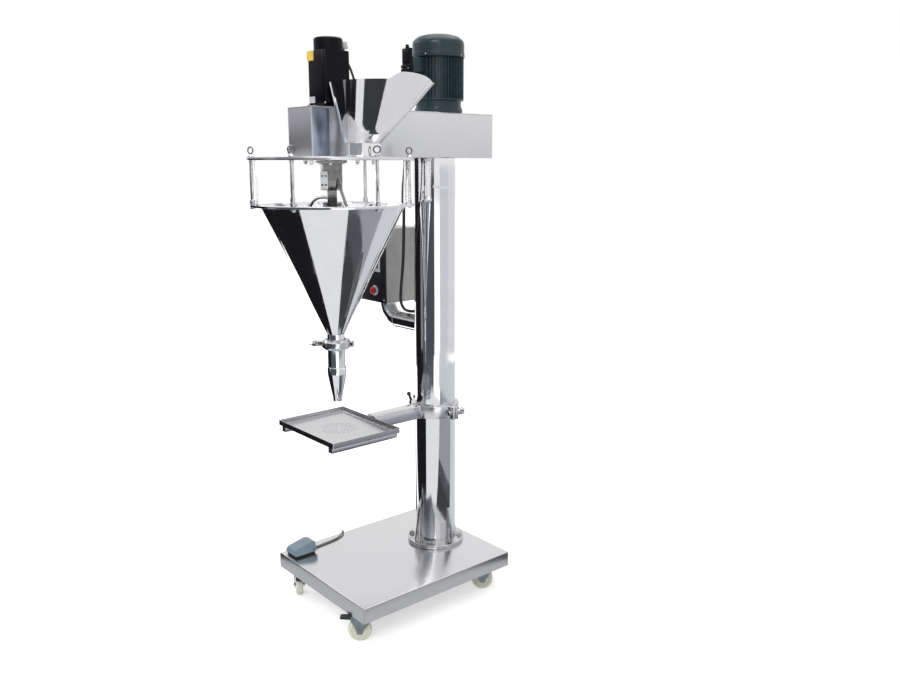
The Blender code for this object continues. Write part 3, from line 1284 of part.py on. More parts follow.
def make_door():
    front = -BOX_DEPTH / 2
    middle_z = BOX_BOTTOM + BOX_HEIGHT / 2
    door = block("control_panel", (BOX_WIDTH, DOOR_THICKNESS, BOX_HEIGHT),
                 at(BOX_X, front + DOOR_THICKNESS / 2, middle_z), PANEL_BLACK)
    window = (DISPLAY_WIDTH - 2 * DISPLAY_BEZEL, 4 * DOOR_THICKNESS,
              DISPLAY_HEIGHT - 2 * DISPLAY_BEZEL)
    cut(door, block("door_window", window, at(BOX_X, front, DISPLAY_BOTTOM + DISPLAY_HEIGHT / 2)))
    sink = 0.001
    ring_front = front - STOP_RING_DEPTH
    join(door, rod("door_stop_ring", STOP_RING_RADIUS, at(STOP_X, ring_front, STOP_HEIGHT),
                   at(STOP_X, front + sink, STOP_HEIGHT)))
    drill(door, STOP_STEM_RADIUS + GAP, at(STOP_X, ring_front - SHEET, STOP_HEIGHT),
          at(STOP_X, front + 2 * DOOR_THICKNESS, STOP_HEIGHT))
    return door


def make_display():
    front = -BOX_DEPTH / 2 - GAP
    middle_z = DISPLAY_BOTTOM + DISPLAY_HEIGHT / 2
    display = block("control_display", (DISPLAY_WIDTH, DISPLAY_THICKNESS, DISPLAY_HEIGHT),
                    at(BOX_X, front - DISPLAY_THICKNESS / 2, middle_z), SCREEN)
    body_depth = 0.024
    sink = 0.001
    body = (DISPLAY_WIDTH - 2 * DISPLAY_BEZEL - 2 * GAP, body_depth + sink,
            DISPLAY_HEIGHT - 2 * DISPLAY_BEZEL - 2 * GAP)
    return join(display, block("display_body", body,
                               at(BOX_X, front + (body_depth - sink) / 2, middle_z)))


def make_stop_button():
    front = -BOX_DEPTH / 2 - STOP_RING_DEPTH
    cap_back = front - STOP_TRAVEL - GAP
    cap_front = cap_back - 0.010
    stem_back = -BOX_DEPTH / 2 + DOOR_THICKNESS + 0.006
    button = rod("emergency_stop", STOP_STEM_RADIUS, at(STOP_X, cap_back - SHEET, STOP_HEIGHT),
                 at(STOP_X, stem_back, STOP_HEIGHT), STOP_RED)
    profile = [(0.0, 0.010), (0.009, 0.009), (STOP_CAP_RADIUS, 0.006), (STOP_CAP_RADIUS, 0.0),
               (0.0, 0.0)]
    cap = turned("stop_cap", profile, at(STOP_X, cap_back, STOP_HEIGHT), turn=(90, 0, 0),
                 steps=SMALL_ROUND)
    return join(button, cap)


# Foot switch

SWITCH_SEAT = DECK_TOP + GAP
SWITCH_PIN_Z = DECK_TOP + SWITCH_PIN_HEIGHT


def make_switch_base():
    clearance = 0.0015
    inner_width = SWITCH_WIDTH - 2 * SWITCH_SHELL
    inner_length = SWITCH_LENGTH - 2 * SWITCH_SHELL
    base = block("foot_switch_base", (inner_width - 2 * clearance, inner_length - 2 * clearance,
                                      SWITCH_PLATE),
                 at(SWITCH_X, SWITCH_Y, SWITCH_SEAT + SWITCH_PLATE / 2), BLACK_PLASTIC)
    sink = 0.001
    tower_height = 0.010
    tower = (inner_width - 0.010, 0.016, tower_height + sink)
    join(base, block("switch_tower", tower,
                     at(SWITCH_X, SWITCH_Y + SWITCH_PIN_Y - 0.003,
                        SWITCH_SEAT + SWITCH_PLATE + (tower_height - sink) / 2)))
    half = SWITCH_WIDTH / 2 - 0.0005
    join(base, rod("switch_pin", SWITCH_PIN_RADIUS,
                   at(SWITCH_X - half, SWITCH_Y + SWITCH_PIN_Y, SWITCH_PIN_Z),
                   at(SWITCH_X + half, SWITCH_Y + SWITCH_PIN_Y, SWITCH_PIN_Z), sides=12))
    return base


def make_switch_pedal():
    """Hollow cover with a sloping top, on the pin near its rear."""
    half = SWITCH_LENGTH / 2
    lift = SWITCH_LIFT
    side = [(-half, lift), (half, lift), (half, SWITCH_REAR_HEIGHT),
            (half - 0.020, SWITCH_REAR_HEIGHT + 0.002), (-half, SWITCH_FRONT_HEIGHT)]
    pin = (SWITCH_PIN_Y, SWITCH_PIN_HEIGHT)

    def about_pin(points):
        return [(x - pin[0], y - pin[1]) for x, y in points]

    place = at(SWITCH_X, SWITCH_Y + pin[0], SWITCH_PIN_Z)
    pedal = outline("foot_switch_pedal", [about_pin(side)], SWITCH_WIDTH, place, PEDAL_BLUE,
                    turn=(90, 0, 90))
    shell = SWITCH_SHELL
    inner = [(-half + shell, lift - shell), (half - shell, lift - shell),
             (half - shell, SWITCH_REAR_HEIGHT - shell),
             (half - 0.021, SWITCH_REAR_HEIGHT - shell), (-half + shell, SWITCH_FRONT_HEIGHT - shell)]
    cut(pedal, outline("pedal_inside", [about_pin(inner)], SWITCH_WIDTH - 2 * shell, place,
                       turn=(90, 0, 90)))
    reach = Vector((SWITCH_WIDTH, 0, 0))
    return drill(pedal, SWITCH_PIN_RADIUS + GAP, place - reach, place + reach, sides=12)


# Cables

def make_head_cable():
    """From the belt housing down beside the hopper, over the elbow pipe and into the column."""
    rest = ELBOW_HEIGHT + ELBOW_RADIUS + HEAD_CABLE_RADIUS + GAP
    inside = 0.014 - COLUMN_RADIUS
    route = [at(0, HEAD_CABLE_Y, HOUSING_BOTTOM + 0.020),
             at(0, HEAD_CABLE_Y, HOUSING_BOTTOM - 0.010),
             at(0, HEAD_CABLE_Y, HOUSING_BOTTOM - 0.040),
             at(-0.012, HEAD_CABLE_Y - 0.004, HOUSING_BOTTOM - 0.111),
             at(-0.040, HEAD_CABLE_Y + 0.014, HOUSING_BOTTOM - 0.231),
             at(-0.085, -0.080, rest + 0.219), at(-0.132, -0.056, rest + 0.099),
             at(-0.158, -0.038, rest + 0.044), at(-0.168, -0.014, rest + 0.010),
             at(inside - 0.088, 0.0, rest + 0.002), at(inside - 0.063, 0.0, rest + 0.005),
             at(inside - 0.040, 0.0, HEAD_CABLE_ENTRY), at(inside - 0.025, 0.0, HEAD_CABLE_ENTRY),
             at(inside, 0.0, HEAD_CABLE_ENTRY)]
    return wire("head_cable", smooth_route(route, 0.020), HEAD_CABLE_RADIUS, BLACK_PLASTIC)


def make_switch_cord():
    """Across the deck, over its left edge, along the floor and up into the column's foot."""
    on_deck = DECK_TOP + CORD_RADIUS + GAP
    on_floor = CORD_RADIUS + GAP
    exit_y = SWITCH_Y + SWITCH_LENGTH / 2 - SWITCH_SHELL - 0.0015 + GAP
    edge = -DECK_WIDTH / 2
    route = [at(SWITCH_X, exit_y, on_deck + 0.001), at(SWITCH_X, exit_y + 0.022, on_deck),
             at(SWITCH_X - 0.004, SWITCH_Y + 0.092, on_deck),
             at(SWITCH_X - 0.008, SWITCH_Y + 0.132, on_deck),
             at(SWITCH_X - 0.015, SWITCH_Y + 0.167, on_deck),
             at(SWITCH_X - 0.029, SWITCH_Y + 0.196, on_deck + 0.001),
             at(edge + 0.008, -0.258, on_deck + 0.003),
             at(edge - 0.004, -0.249, on_deck + 0.001), at(edge - 0.009, -0.243, on_deck - 0.014),
             at(edge - 0.009, -0.235, DECK_TOP - 0.038), at(edge - 0.009, -0.222, DECK_TOP / 2),
             at(edge - 0.006, -0.205, 0.035), at(edge + 0.010, -0.180, 0.011),
             at(edge + 0.045, -0.150, on_floor), at(-0.170, -0.112, on_floor),
             at(-0.110, -0.072, on_floor), at(-0.058, -0.036, 0.012), at(-0.022, -0.013, 0.042),
             at(-0.004, -0.002, DECK_TOP - 0.060), at(0, 0, DECK_TOP - 0.015),
             at(0, 0, DECK_TOP + 0.040)]
    return wire("foot_switch_cord", smooth_route(route, 0.017), CORD_RADIUS, CORD_GREY)


def main():
    make_deck()
    make_casters()
    make_column()
    make_column_foot()
    make_belt_housing()
    make_housing_cover()
    make_motor_body()
    make_fan_cover()
    make_motor_rotor()
    make_terminal_box()
    make_pulley("drive_pulley", MOTOR_SETBACK, DRIVE_GROOVE_RADIUS, MOTOR_SHAFT_RADIUS + GAP)
    make_pulley("driven_pulley", -HOPPER_REACH, DRIVEN_GROOVE_RADIUS, SLEEVE_RADIUS + GAP)
    make_belt()
    make_servo()
    make_encoder()
    make_servo_cable()
    make_servo_shaft()
    make_coupling()
    make_auger()
    make_stirrer()
    make_bearing()
    make_hopper_lid()
    make_hopper_cylinder()
    make_hopper_cone()
    make_tie_rods()
    make_funnel()
    make_auger_tube()
    make_nozzle()
    make_outlet_clamp()
    make_wing_nut()
    make_tray_arm()
    make_collar_rear()
    make_lock_lever()
    make_lock_knob()
    make_pan()
    make_elbow()
    make_control_box()
    make_door()
    make_display()
    make_stop_button()
    make_switch_base()
    make_switch_pedal()
    make_head_cable()
    make_switch_cord()


main()
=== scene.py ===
"""Looks for the auger powder filler: steel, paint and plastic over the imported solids.

Every size that belongs to the machine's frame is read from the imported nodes, and the detail
on top of them comes from the settings below. Metres, +Z up, operator on the -Y side.
"""

import math

import bmesh
import bpy
from bpy.props import FloatProperty, FloatVectorProperty, IntProperty, PointerProperty
from mathutils import Matrix, Vector


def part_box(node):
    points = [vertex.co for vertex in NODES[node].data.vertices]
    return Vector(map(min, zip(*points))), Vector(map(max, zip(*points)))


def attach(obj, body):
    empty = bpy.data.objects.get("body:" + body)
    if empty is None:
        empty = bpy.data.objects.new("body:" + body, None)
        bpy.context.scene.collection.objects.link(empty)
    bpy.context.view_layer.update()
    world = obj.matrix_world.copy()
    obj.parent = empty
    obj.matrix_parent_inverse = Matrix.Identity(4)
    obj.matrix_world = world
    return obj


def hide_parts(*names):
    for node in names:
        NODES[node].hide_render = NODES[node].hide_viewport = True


bl_info = {
    "name": "Auger powder filler",
    "version": (1, 0, 0),
    "blender": (4, 5, 0),
    "location": "3D View > Sidebar > Filler",
    "description": "Builds the detailed pieces and finishes of an auger powder filler",
    "category": "Object",
}

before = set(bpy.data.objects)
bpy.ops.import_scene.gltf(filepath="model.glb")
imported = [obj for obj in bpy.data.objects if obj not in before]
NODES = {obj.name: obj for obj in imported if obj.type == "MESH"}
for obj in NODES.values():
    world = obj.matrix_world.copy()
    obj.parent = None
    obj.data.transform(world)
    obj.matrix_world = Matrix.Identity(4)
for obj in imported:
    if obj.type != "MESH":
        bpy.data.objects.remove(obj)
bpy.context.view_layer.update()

X_AXIS = Vector((1, 0, 0))
Y_AXIS = Vector((0, 1, 0))
Z_AXIS = Vector((0, 0, 1))
GAP = 0.0003


class Extent:
    """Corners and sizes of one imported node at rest."""

    def __init__(self, node):
        self.low, self.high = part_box(node)
        self.middle = (self.low + self.high) / 2
        self.size = self.high - self.low
        self.radius = self.size.x / 2


DECK = Extent("base_deck")
COLUMN = Extent("column_tube")
FOOT = Extent("column_foot")
HOUSING = Extent("belt_housing")
COVER = Extent("belt_housing_cover")
LID = Extent("hopper_lid")
CYLINDER = Extent("hopper_cylinder")
CONE = Extent("hopper_cone")
TUBE = Extent("auger_tube")
NOZZLE = Extent("auger_nozzle")
SERVO = Extent("servo_motor")
ENCODER = Extent("servo_encoder")
MOTOR = Extent("motor_body")
FAN_COVER = Extent("motor_fan_cover")
TERMINAL = Extent("motor_terminal_box")
PAN = Extent("tray_pan")
ARM = Extent("tray_arm")
BOX = Extent("control_box")
DOOR = Extent("control_panel")
DISPLAY = Extent("control_display")
SWITCH = Extent("foot_switch_pedal")
SWITCH_BASE = Extent("foot_switch_base")
ELBOW = Extent("control_elbow")
BEARING = Extent("bearing_housing")
STOP_NODE = Extent("emergency_stop")
STOP = Vector((STOP_NODE.middle.x, 0.0, STOP_NODE.middle.z))

COLUMN_X = COLUMN.middle.x
COLUMN_Y = COLUMN.middle.y
HOPPER_X = CYLINDER.middle.x
HOPPER_Y = CYLINDER.middle.y
MOTOR_X = FAN_COVER.middle.x
MOTOR_Y = FAN_COVER.middle.y


def near_column(x, y, z):
    """A point given from the column's axis and the floor."""
    return Vector((COLUMN_X + x, COLUMN_Y + y, z))


def near_hopper(x, y, z):
    return Vector((HOPPER_X + x, HOPPER_Y + y, z))


# Settings


def length(name, description, default):
    return FloatProperty(
        name=name, description=description, default=default, min=0.0, unit="LENGTH", precision=4)


def colour(name, description, default):
    return FloatVectorProperty(name=name, description=description, default=default, size=3,
                               min=0.0, max=1.0, subtype="COLOR")


class FillerSizes(bpy.types.PropertyGroup):
    fold_radius: length("Fold radius", "Outside radius of a folded sheet edge", 0.003)
    deck_wall: length("Deck sheet", "Sheet thickness of the deck", 0.003)
    channel_width: length("Channel width", "Width of a cross channel under the deck", 0.090)
    channel_drop: length("Channel drop", "Height of a cross channel under the deck", 0.037)
    caster_inset: length("Caster inset", "Deck edge to a caster's kingpin", 0.050)
    wheel_radius: length("Wheel radius", "Radius of a caster wheel", 0.040)
    wheel_width: length("Wheel width", "Width of a caster wheel", 0.026)
    caster_trail: length("Caster trail", "Kingpin to wheel axle, level", 0.028)
    rib_count: IntProperty(name="Foot ribs", description="Ribs on the column foot", default=4)
    bolt_head: length("Bolt head", "Across corners of the foot's bolts", 0.020)
    cover_screws: IntProperty(
        name="Cover screws", default=7, description="Screws along one side of the cover")
    motor_fins: IntProperty(name="Motor fins", description="Fins round the motor", default=44)
    fin_depth: length("Fin depth", "Depth of a motor fin", 0.0110)
    post_circle: length("Post circle", "Radius of the circle of tie rods", 0.257)
    post_count: IntProperty(name="Tie rods", description="Tie rods round the hopper", default=6)
    post_radius: length("Post radius", "Radius of a tie rod", 0.006)
    eye_radius: length("Eye radius", "Radius of a lifting eye to its wire", 0.0105)
    cylinder_wall: length("Cylinder wall", "Wall of the clear cylinder", 0.005)
    neck_radius: length("Neck radius", "Outside radius of the hopper's outlet", 0.0305)
    cone_sheet: length("Cone sheet", "Sheet thickness of cone and funnel", 0.002)
    clamp_turn: FloatProperty(name="Clamp turn", default=45.0,
                              description="Direction of the outlet clamp's hinge, degrees")
    tray_hole: length("Tray hole", "Radius of a hole in the tray", 0.00338)
    tray_hole_rings: IntProperty(
        name="Hole rings", default=7, description="Rings of holes in the tray")
    elbow_radius: length("Elbow radius", "Radius of the control box's pipe", 0.0318)
    elbow_bend: length("Elbow bend", "Bend radius of the control box's pipe", 0.066)
    head_cable_radius: length("Head cable radius", "Radius of the motors' cable", 0.006)
    cord_radius: length("Switch cord radius", "Radius of the foot switch's cord", 0.003)


class FillerColours(bpy.types.PropertyGroup):
    brushed: colour("Brushed steel", "Deck, housing and tray", (0.66, 0.66, 0.675))
    polished: colour("Polished steel", "Column, cone and funnel", (0.80, 0.80, 0.815))
    zinc: colour("Zinc plate", "Caster forks", (0.25, 0.30, 0.35))
    motor: colour("Motor paint", "Enamel on the finned motor", (0.019, 0.036, 0.042))
    servo: colour("Servo paint", "Black enamel on the servo motor", (0.004, 0.004, 0.006))
    black_plastic: colour("Black plastic", "Knobs, pedals and cables", (0.014, 0.014, 0.015))
    wheel: colour("Wheel", "Cream wheels", (0.66, 0.66, 0.56))
    box: colour("Box paint", "Side of the control box", (0.40, 0.41, 0.39))
    panel: colour("Panel", "Front of the control box", (0.010, 0.012, 0.016))
    stop: colour("Stop button", "Emergency stop", (0.38, 0.008, 0.015))
    pedal: colour("Foot pedal", "Cover of the foot switch", (0.17, 0.23, 0.28))
    cord: colour("Switch cord", "Cord of the foot switch", (0.15, 0.155, 0.155))
    label: colour("Plate", "Bare yellow plate on the servo motor", (0.62, 0.40, 0.02))


def sizes():
    return bpy.context.scene.filler_sizes


def colours():
    return bpy.context.scene.filler_colours


# Shader maths


class Value:
    """A socket in a shader tree, so that finishes read as sums and products."""

    def __init__(self, tree, socket):
        self.tree = tree
        self.socket = socket

    def maths(self, operation, first, second):
        return add_node(self.tree, "ShaderNodeMath", {"operation": operation},
                        {0: first, 1: second})

    def __add__(self, other):
        return self.maths("ADD", self, other)

    def __radd__(self, other):
        return self.maths("ADD", other, self)

    def __sub__(self, other):
        return self.maths("SUBTRACT", self, other)

    def __rsub__(self, other):
        return self.maths("SUBTRACT", other, self)

    def __mul__(self, other):
        return self.maths("MULTIPLY", self, other)

    def __rmul__(self, other):
        return self.maths("MULTIPLY", other, self)


def add_node(tree, kind, settings=None, sockets=None, output=0):
    """One node with its settings made first, then its sockets set or linked."""
    node = tree.nodes.new(kind)
    for name, setting in (settings or {}).items():
        setattr(node, name, setting)
    for key, content in (sockets or {}).items():
        if isinstance(content, Value):
            tree.links.new(content.socket, node.inputs[key])
        else:
            node.inputs[key].default_value = content
    return Value(tree, node.outputs[output])


class Finish:
    """A material being written: its tree, its shader and the patterns that feed it."""

    def __init__(self, name):
        self.material = bpy.data.materials.new(name)
        self.material.use_nodes = True
        self.tree = self.material.node_tree
        self.shader = self.tree.nodes["Principled BSDF"]

    def noise(self, scale, detail=3.0, roughness=0.5, stretch=(1, 1, 1)):
        coordinates = add_node(self.tree, "ShaderNodeTexCoord", output="Object")
        place = add_node(self.tree, "ShaderNodeMapping", None,
                         {"Vector": coordinates, "Scale": stretch})
        return add_node(self.tree, "ShaderNodeTexNoise", None,
                        {"Vector": place, "Scale": scale, "Detail": detail,
                         "Roughness": roughness})

    def spread(self, pattern, low, high, new_low=0.0, new_high=1.0):
        """The pattern's range from low to high, carried over to a new range and held there."""
        return add_node(self.tree, "ShaderNodeMapRange", {"clamp": True},
                        {"Value": pattern, "From Min": low, "From Max": high, "To Min": new_low,
                         "To Max": new_high})

    def blend(self, share, first, second):
        """One colour running into another by a share from 0 to 1."""
        return add_node(self.tree, "ShaderNodeMix", {"data_type": "RGBA"},
                        {0: share, 6: self.shade(first), 7: self.shade(second)}, output=2)

    def shade(self, tone):
        return tone if isinstance(tone, Value) else (*tone, 1.0)

    def bump(self, height, strength, distance):
        return add_node(self.tree, "ShaderNodeBump", None,
                        {"Height": height, "Strength": strength, "Distance": distance})

    def set(self, **sockets):
        for name, content in sockets.items():
            socket = self.shader.inputs[name.replace("_", " ").title().replace("Ior", "IOR")]
            if isinstance(content, Value):
                self.tree.links.new(content.socket, socket)
            elif socket.type == "RGBA" and len(content) == 3:
                socket.default_value = (*content, 1.0)
            else:
                socket.default_value = content
        return self.material


def darker(tone, share):
    return tuple(channel * share for channel in tone)


FINISHES = {}


def finish(name):
    """The finish of that name, written once and shared."""
    if name not in FINISHES:
        maker, *arguments = FINISH_MAKERS[name]
        FINISHES[name] = maker(name, *arguments)
    return FINISHES[name]


def tone_of(tone):
    """A colour given by itself or by the name of its setting."""
    return tuple(getattr(colours(), tone)) if isinstance(tone, str) else tone


def brushed_steel(name, stretch, shade=1.0, satin=0.0, grain=0.006, tint=(1.0, 1.0, 1.0)):
    """Satin sheet: fine scratches along the grain, cloudy sheen and faint handling marks."""
    steel = Finish(name)
    # Shade and tint scale the whole base colour; the tray copy uses this as painted shade, the
    # side strip copy as a painted bluish reflection.
    base = tuple(part * share * shade for part, share in zip(colours().brushed, tint))
    scratches = steel.noise(1.0, 3.0, 0.7, stretch)
    clouds = steel.noise(3.5, 3.0, 0.5)
    marks = steel.noise(26.0, 5.0, 0.6)
    tone = steel.spread(scratches * 0.4 + clouds * 0.6, 0.35, 0.65)
    colour_mix = steel.blend(tone, darker(base, 0.97), darker(base, 1.03))
    roughness = (steel.spread(clouds, 0.35, 0.65, 0.195 + satin, 0.22 + satin)
                 + steel.spread(scratches, 0.3, 0.7, -0.01, 0.015)
                 + steel.spread(marks, 0.60, 0.78, 0.0, 0.03))
    return steel.set(base_color=colour_mix, metallic=1.0, roughness=roughness,
                     normal=steel.bump(scratches, grain, 0.0001))


def polished_steel(name, wave=0.012):
    """Mirror finish with a slight rolling wave, fine wiping marks and a few duller patches."""
    steel = Finish(name)
    base = tuple(colours().polished)
    wave_pattern = steel.noise(5.0, 2.0, 0.5)
    wiping = steel.noise(1.0, 4.0, 0.6, (60, 60, 9))
    patches = steel.noise(11.0, 5.0, 0.6)
    roughness = (steel.spread(patches, 0.45, 0.75, 0.045, 0.12)
                 + steel.spread(wiping, 0.45, 0.75, 0.0, 0.04))
    tone = steel.blend(steel.spread(patches, 0.3, 0.7), darker(base, 0.94), base)
    return steel.set(base_color=tone, metallic=1.0, roughness=roughness,
                     normal=steel.bump(wave_pattern, wave, 0.01))


def satin_weld(name):
    """Dull, slightly tinted steel beside and on a weld bead."""
    steel = Finish(name)
    ripples = steel.noise(420.0, 3.0, 0.6)
    tint = steel.noise(60.0, 2.0, 0.5)
    tone = steel.blend(steel.spread(tint, 0.4, 0.6), (0.42, 0.40, 0.37), (0.56, 0.55, 0.54))
    return steel.set(
        base_color=tone, metallic=1.0, roughness=steel.spread(ripples, 0.3, 0.7, 0.30, 0.50),
        normal=steel.bump(ripples, 0.35, 0.0008))


def turned_steel(name, shade=1.0):
    """Machined fasteners and ferrules: bright with fine turning marks."""
    steel = Finish(name)
    # Shade scales the whole base colour; the stirrer and eye copies use this as painted shade, the
    # tie rod copy as painted light.
    base = darker(tuple(colours().polished), shade)
    marks = steel.noise(240.0, 2.0, 0.5, (1, 1, 4))
    patches = steel.noise(30.0, 4.0, 0.6)
    tone = steel.blend(steel.spread(patches, 0.35, 0.65), darker(base, 0.58), darker(base, 0.78))
    return steel.set(base_color=tone, metallic=1.0,
                     roughness=steel.spread(patches, 0.35, 0.7, 0.10, 0.20)
                     + steel.spread(marks, 0.4, 0.7, 0.0, 0.02))


def zinc_plate(name):
    """Bright zinc with a blue passivated cast that drifts over the pressing."""
    zinc = Finish(name)
    base = tuple(colours().zinc)
    drift = zinc.noise(22.0, 3.0, 0.5)
    spangle = zinc.noise(160.0, 3.0, 0.6)
    tone = zinc.blend(zinc.spread(drift, 0.35, 0.65), darker(base, 0.85),
                      (base[0] * 1.25, base[1] * 1.15, base[2] * 1.02))
    return zinc.set(
        base_color=tone, metallic=0.9, roughness=zinc.spread(spangle, 0.3, 0.7, 0.24, 0.40),
        normal=zinc.bump(spangle, 0.10, 0.0004))


def enamel(name, tone, low, high, orange_peel=0.10, specular=0.5):
    """Sprayed enamel: slight orange peel, dust in the gloss and a little colour drift."""
    paint = Finish(name)
    base = tone_of(tone)
    peel = paint.noise(260.0, 2.0, 0.5)
    drift = paint.noise(9.0, 4.0, 0.6)
    dust = paint.noise(90.0, 4.0, 0.7)
    mottled = paint.blend(paint.spread(drift, 0.3, 0.7), darker(base, 0.82),
                          tuple(min(1.0, channel * 1.15 + 0.001) for channel in base))
    return paint.set(base_color=mottled, metallic=0.0, specular_ior_level=specular,
                     roughness=paint.spread(drift * 0.6 + dust * 0.4, 0.35, 0.7, low, high),
                     normal=paint.bump(peel, orange_peel, 0.0005))


def moulded(name, tone, low=0.38, high=0.55, grain=0.14):
    """Moulded plastic with a fine spark-eroded grain."""
    plastic = Finish(name)
    base = tone_of(tone)
    texture = plastic.noise(700.0, 2.0, 0.6)
    drift = plastic.noise(14.0, 3.0, 0.5)
    mottled = plastic.blend(plastic.spread(drift, 0.3, 0.7), darker(base, 0.88),
                            tuple(min(1.0, channel * 1.10) for channel in base))
    return plastic.set(
        base_color=mottled, metallic=0.0, roughness=plastic.spread(drift, 0.3, 0.7, low, high),
        normal=plastic.bump(texture, grain, 0.0003))


def wheel_nylon(name):
    """Cream wheel: slightly waxy, scuffed and dirtied towards its tread."""
    nylon = Finish(name)
    base = tuple(colours().wheel)
    scuffs = nylon.noise(70.0, 5.0, 0.65)
    drift = nylon.noise(18.0, 3.0, 0.5)
    dirt = nylon.spread(scuffs * 0.7 + drift * 0.3, 0.52, 0.72, 0.0, 0.55)
    tone = nylon.blend(dirt, base, (0.30, 0.29, 0.24))
    return nylon.set(base_color=tone, roughness=nylon.spread(scuffs, 0.3, 0.7, 0.32, 0.55),
                     subsurface_weight=0.15, subsurface_radius=(0.004, 0.004, 0.002),
                     normal=nylon.bump(scuffs, 0.10, 0.0006))


def clear_acrylic(name):
    """Clear cast acrylic with the faintest surface ripple."""
    acrylic = Finish(name)
    ripple = acrylic.noise(9.0, 2.0, 0.4)
    haze = acrylic.noise(45.0, 3.0, 0.6)
    return acrylic.set(base_color=(1.0, 1.0, 1.0), metallic=0.0, transmission_weight=1.0, ior=1.03,
                       roughness=acrylic.spread(haze, 0.5, 0.8, 0.0, 0.04),
                       normal=acrylic.bump(ripple, 0.01, 0.004))


def belt_rubber(name):
    rubber = Finish(name)
    grain = rubber.noise(300.0, 4.0, 0.6)
    return rubber.set(
        base_color=rubber.blend(grain, (0.012, 0.012, 0.012), (0.03, 0.03, 0.03)),
        roughness=rubber.spread(grain, 0.3, 0.7, 0.6, 0.8), normal=rubber.bump(grain, 0.2, 0.0005))


def cast_iron(name):
    iron = Finish(name)
    grain = iron.noise(180.0, 5.0, 0.65)
    tone = iron.blend(iron.spread(grain, 0.35, 0.65), (0.13, 0.13, 0.135), (0.26, 0.26, 0.27))
    return iron.set(
        base_color=tone, metallic=1.0, roughness=iron.spread(grain, 0.3, 0.7, 0.30, 0.5),
        normal=iron.bump(grain, 0.25, 0.0006))


def screen_glass(name):
    """Dark display with faint blue clouds, behind smooth glass."""
    screen = Finish(name)
    clouds = screen.noise(14.0, 2.0, 0.4)
    tone = screen.blend(
        screen.spread(clouds, 0.3, 0.7), (0.010, 0.016, 0.026), (0.022, 0.034, 0.052))
    return screen.set(base_color=tone, roughness=screen.spread(clouds, 0.3, 0.7, 0.05, 0.09),
                      coat_weight=0.6, coat_roughness=0.03)


# What writes each finish, and what it is given after the name.
FINISH_MAKERS = {
    "deck_steel": (brushed_steel, (900, 9, 900)),
    "housing_steel": (brushed_steel, (900, 9, 900), 1.0, 0.09, 0.002),
    "plate_steel": (brushed_steel, (9, 900, 900)),
    # The tray's sheet: the brushed steel made darker overall, painted shade.
    "tray_steel": (brushed_steel, (9, 900, 900), 0.88),
    # The housing's side strip: darker bluish brushed steel, a painted reflection.
    "filmed_steel": (brushed_steel, (9, 900, 9), 0.68, 0.09, 0.001, (0.88, 1.0, 1.18)),
    "polished_steel": (polished_steel,),
    "column_steel": (polished_steel, 0.006),
    "turned_steel": (turned_steel,),
    # The stirrer and bearing barrel: turned steel made very dark, painted shade.
    "stirrer_steel": (turned_steel, 0.34),
    # The tie rods: turned steel made lighter, painted light.
    "rod_steel": (turned_steel, 1.15),
    # The lifting eyes: turned steel made very dark, painted shade.
    "eye_steel": (turned_steel, 0.30),
    "weld_bead": (satin_weld,),
    "zinc_plate": (zinc_plate,),
    # The stirrer's clamp plate: pale enamel on a steel part, a painted reflection.
    "pale_plate": (enamel, (0.80, 0.81, 0.82), 0.30, 0.45),
    "motor_paint": (enamel, "motor", 0.20, 0.34, 0.04, 0.22),
    "servo_paint": (enamel, "servo", 0.18, 0.30, 0.02, 0.08),
    "box_paint": (enamel, "box", 0.34, 0.50),
    "panel_paint": (enamel, "panel", 0.25, 0.40),
    "plate_yellow": (enamel, "label", 0.35, 0.50),
    "plate_grey": (enamel, (0.42, 0.40, 0.44), 0.30, 0.45),
    "black_plastic": (moulded, "black_plastic"),
    "cable_black": (moulded, "black_plastic", 0.30, 0.45),
    "grey_plastic": (moulded, (0.40, 0.41, 0.42)),
    "frame_plastic": (moulded, (0.44, 0.45, 0.47), 0.30, 0.42),
    "stop_red": (moulded, "stop", 0.22, 0.34, 0.05),
    "pedal": (moulded, "pedal", 0.34, 0.50, 0.20),
    "cord_sheath": (moulded, "cord", 0.40, 0.55, 0.20),
    "wheel_nylon": (wheel_nylon,),
    "clear_acrylic": (clear_acrylic,),
    "belt_rubber": (belt_rubber,),
    "cast_iron": (cast_iron,),
    "screen_glass": (screen_glass,),
}


# Shapes


def rounded(corners, closed=True, steps=3):
    """Corners given as (x, y) or (x, y, radius), each with a radius turned into an arc."""
    points = []
    for index, corner in enumerate(corners):
        here = Vector(corner[:2])
        radius = corner[2] if len(corner) > 2 else 0.0
        at_end = not closed and index in (0, len(corners) - 1)
        if radius == 0.0 or at_end:
            points.append(here)
            continue
        back = Vector(corners[index - 1][:2]) - here
        ahead = Vector(corners[(index + 1) % len(corners)][:2]) - here
        half = back.angle(ahead) / 2
        reach = min(radius / math.tan(half), 0.48 * back.length, 0.48 * ahead.length)
        start = here + back.normalized() * reach
        end = here + ahead.normalized() * reach
        for step in range(steps + 1):
            share = step / steps
            points.append(start * (1 - share) ** 2 + here * 2 * share * (1 - share) + end
                          * share ** 2)
    return points


def facing(direction, origin, roll=0.0):
    """A place whose +Z looks along a direction."""
    turn = Vector(direction).to_track_quat("Z", "Y").to_matrix().to_4x4()
    return Matrix.Translation(origin) @ turn @ Matrix.Rotation(roll, 4, "Z")


def upright(origin, turn=0.0):
    return Matrix.Translation(origin) @ Matrix.Rotation(math.radians(turn), 4, "Z")


LYING = Matrix.Rotation(math.radians(90), 4, "X")


def around(x, y, radius, degrees, height):
    """A point on a level circle about (x, y)."""
    heading = math.radians(degrees)
    return Vector((x + radius * math.cos(heading), y + radius * math.sin(heading), height))


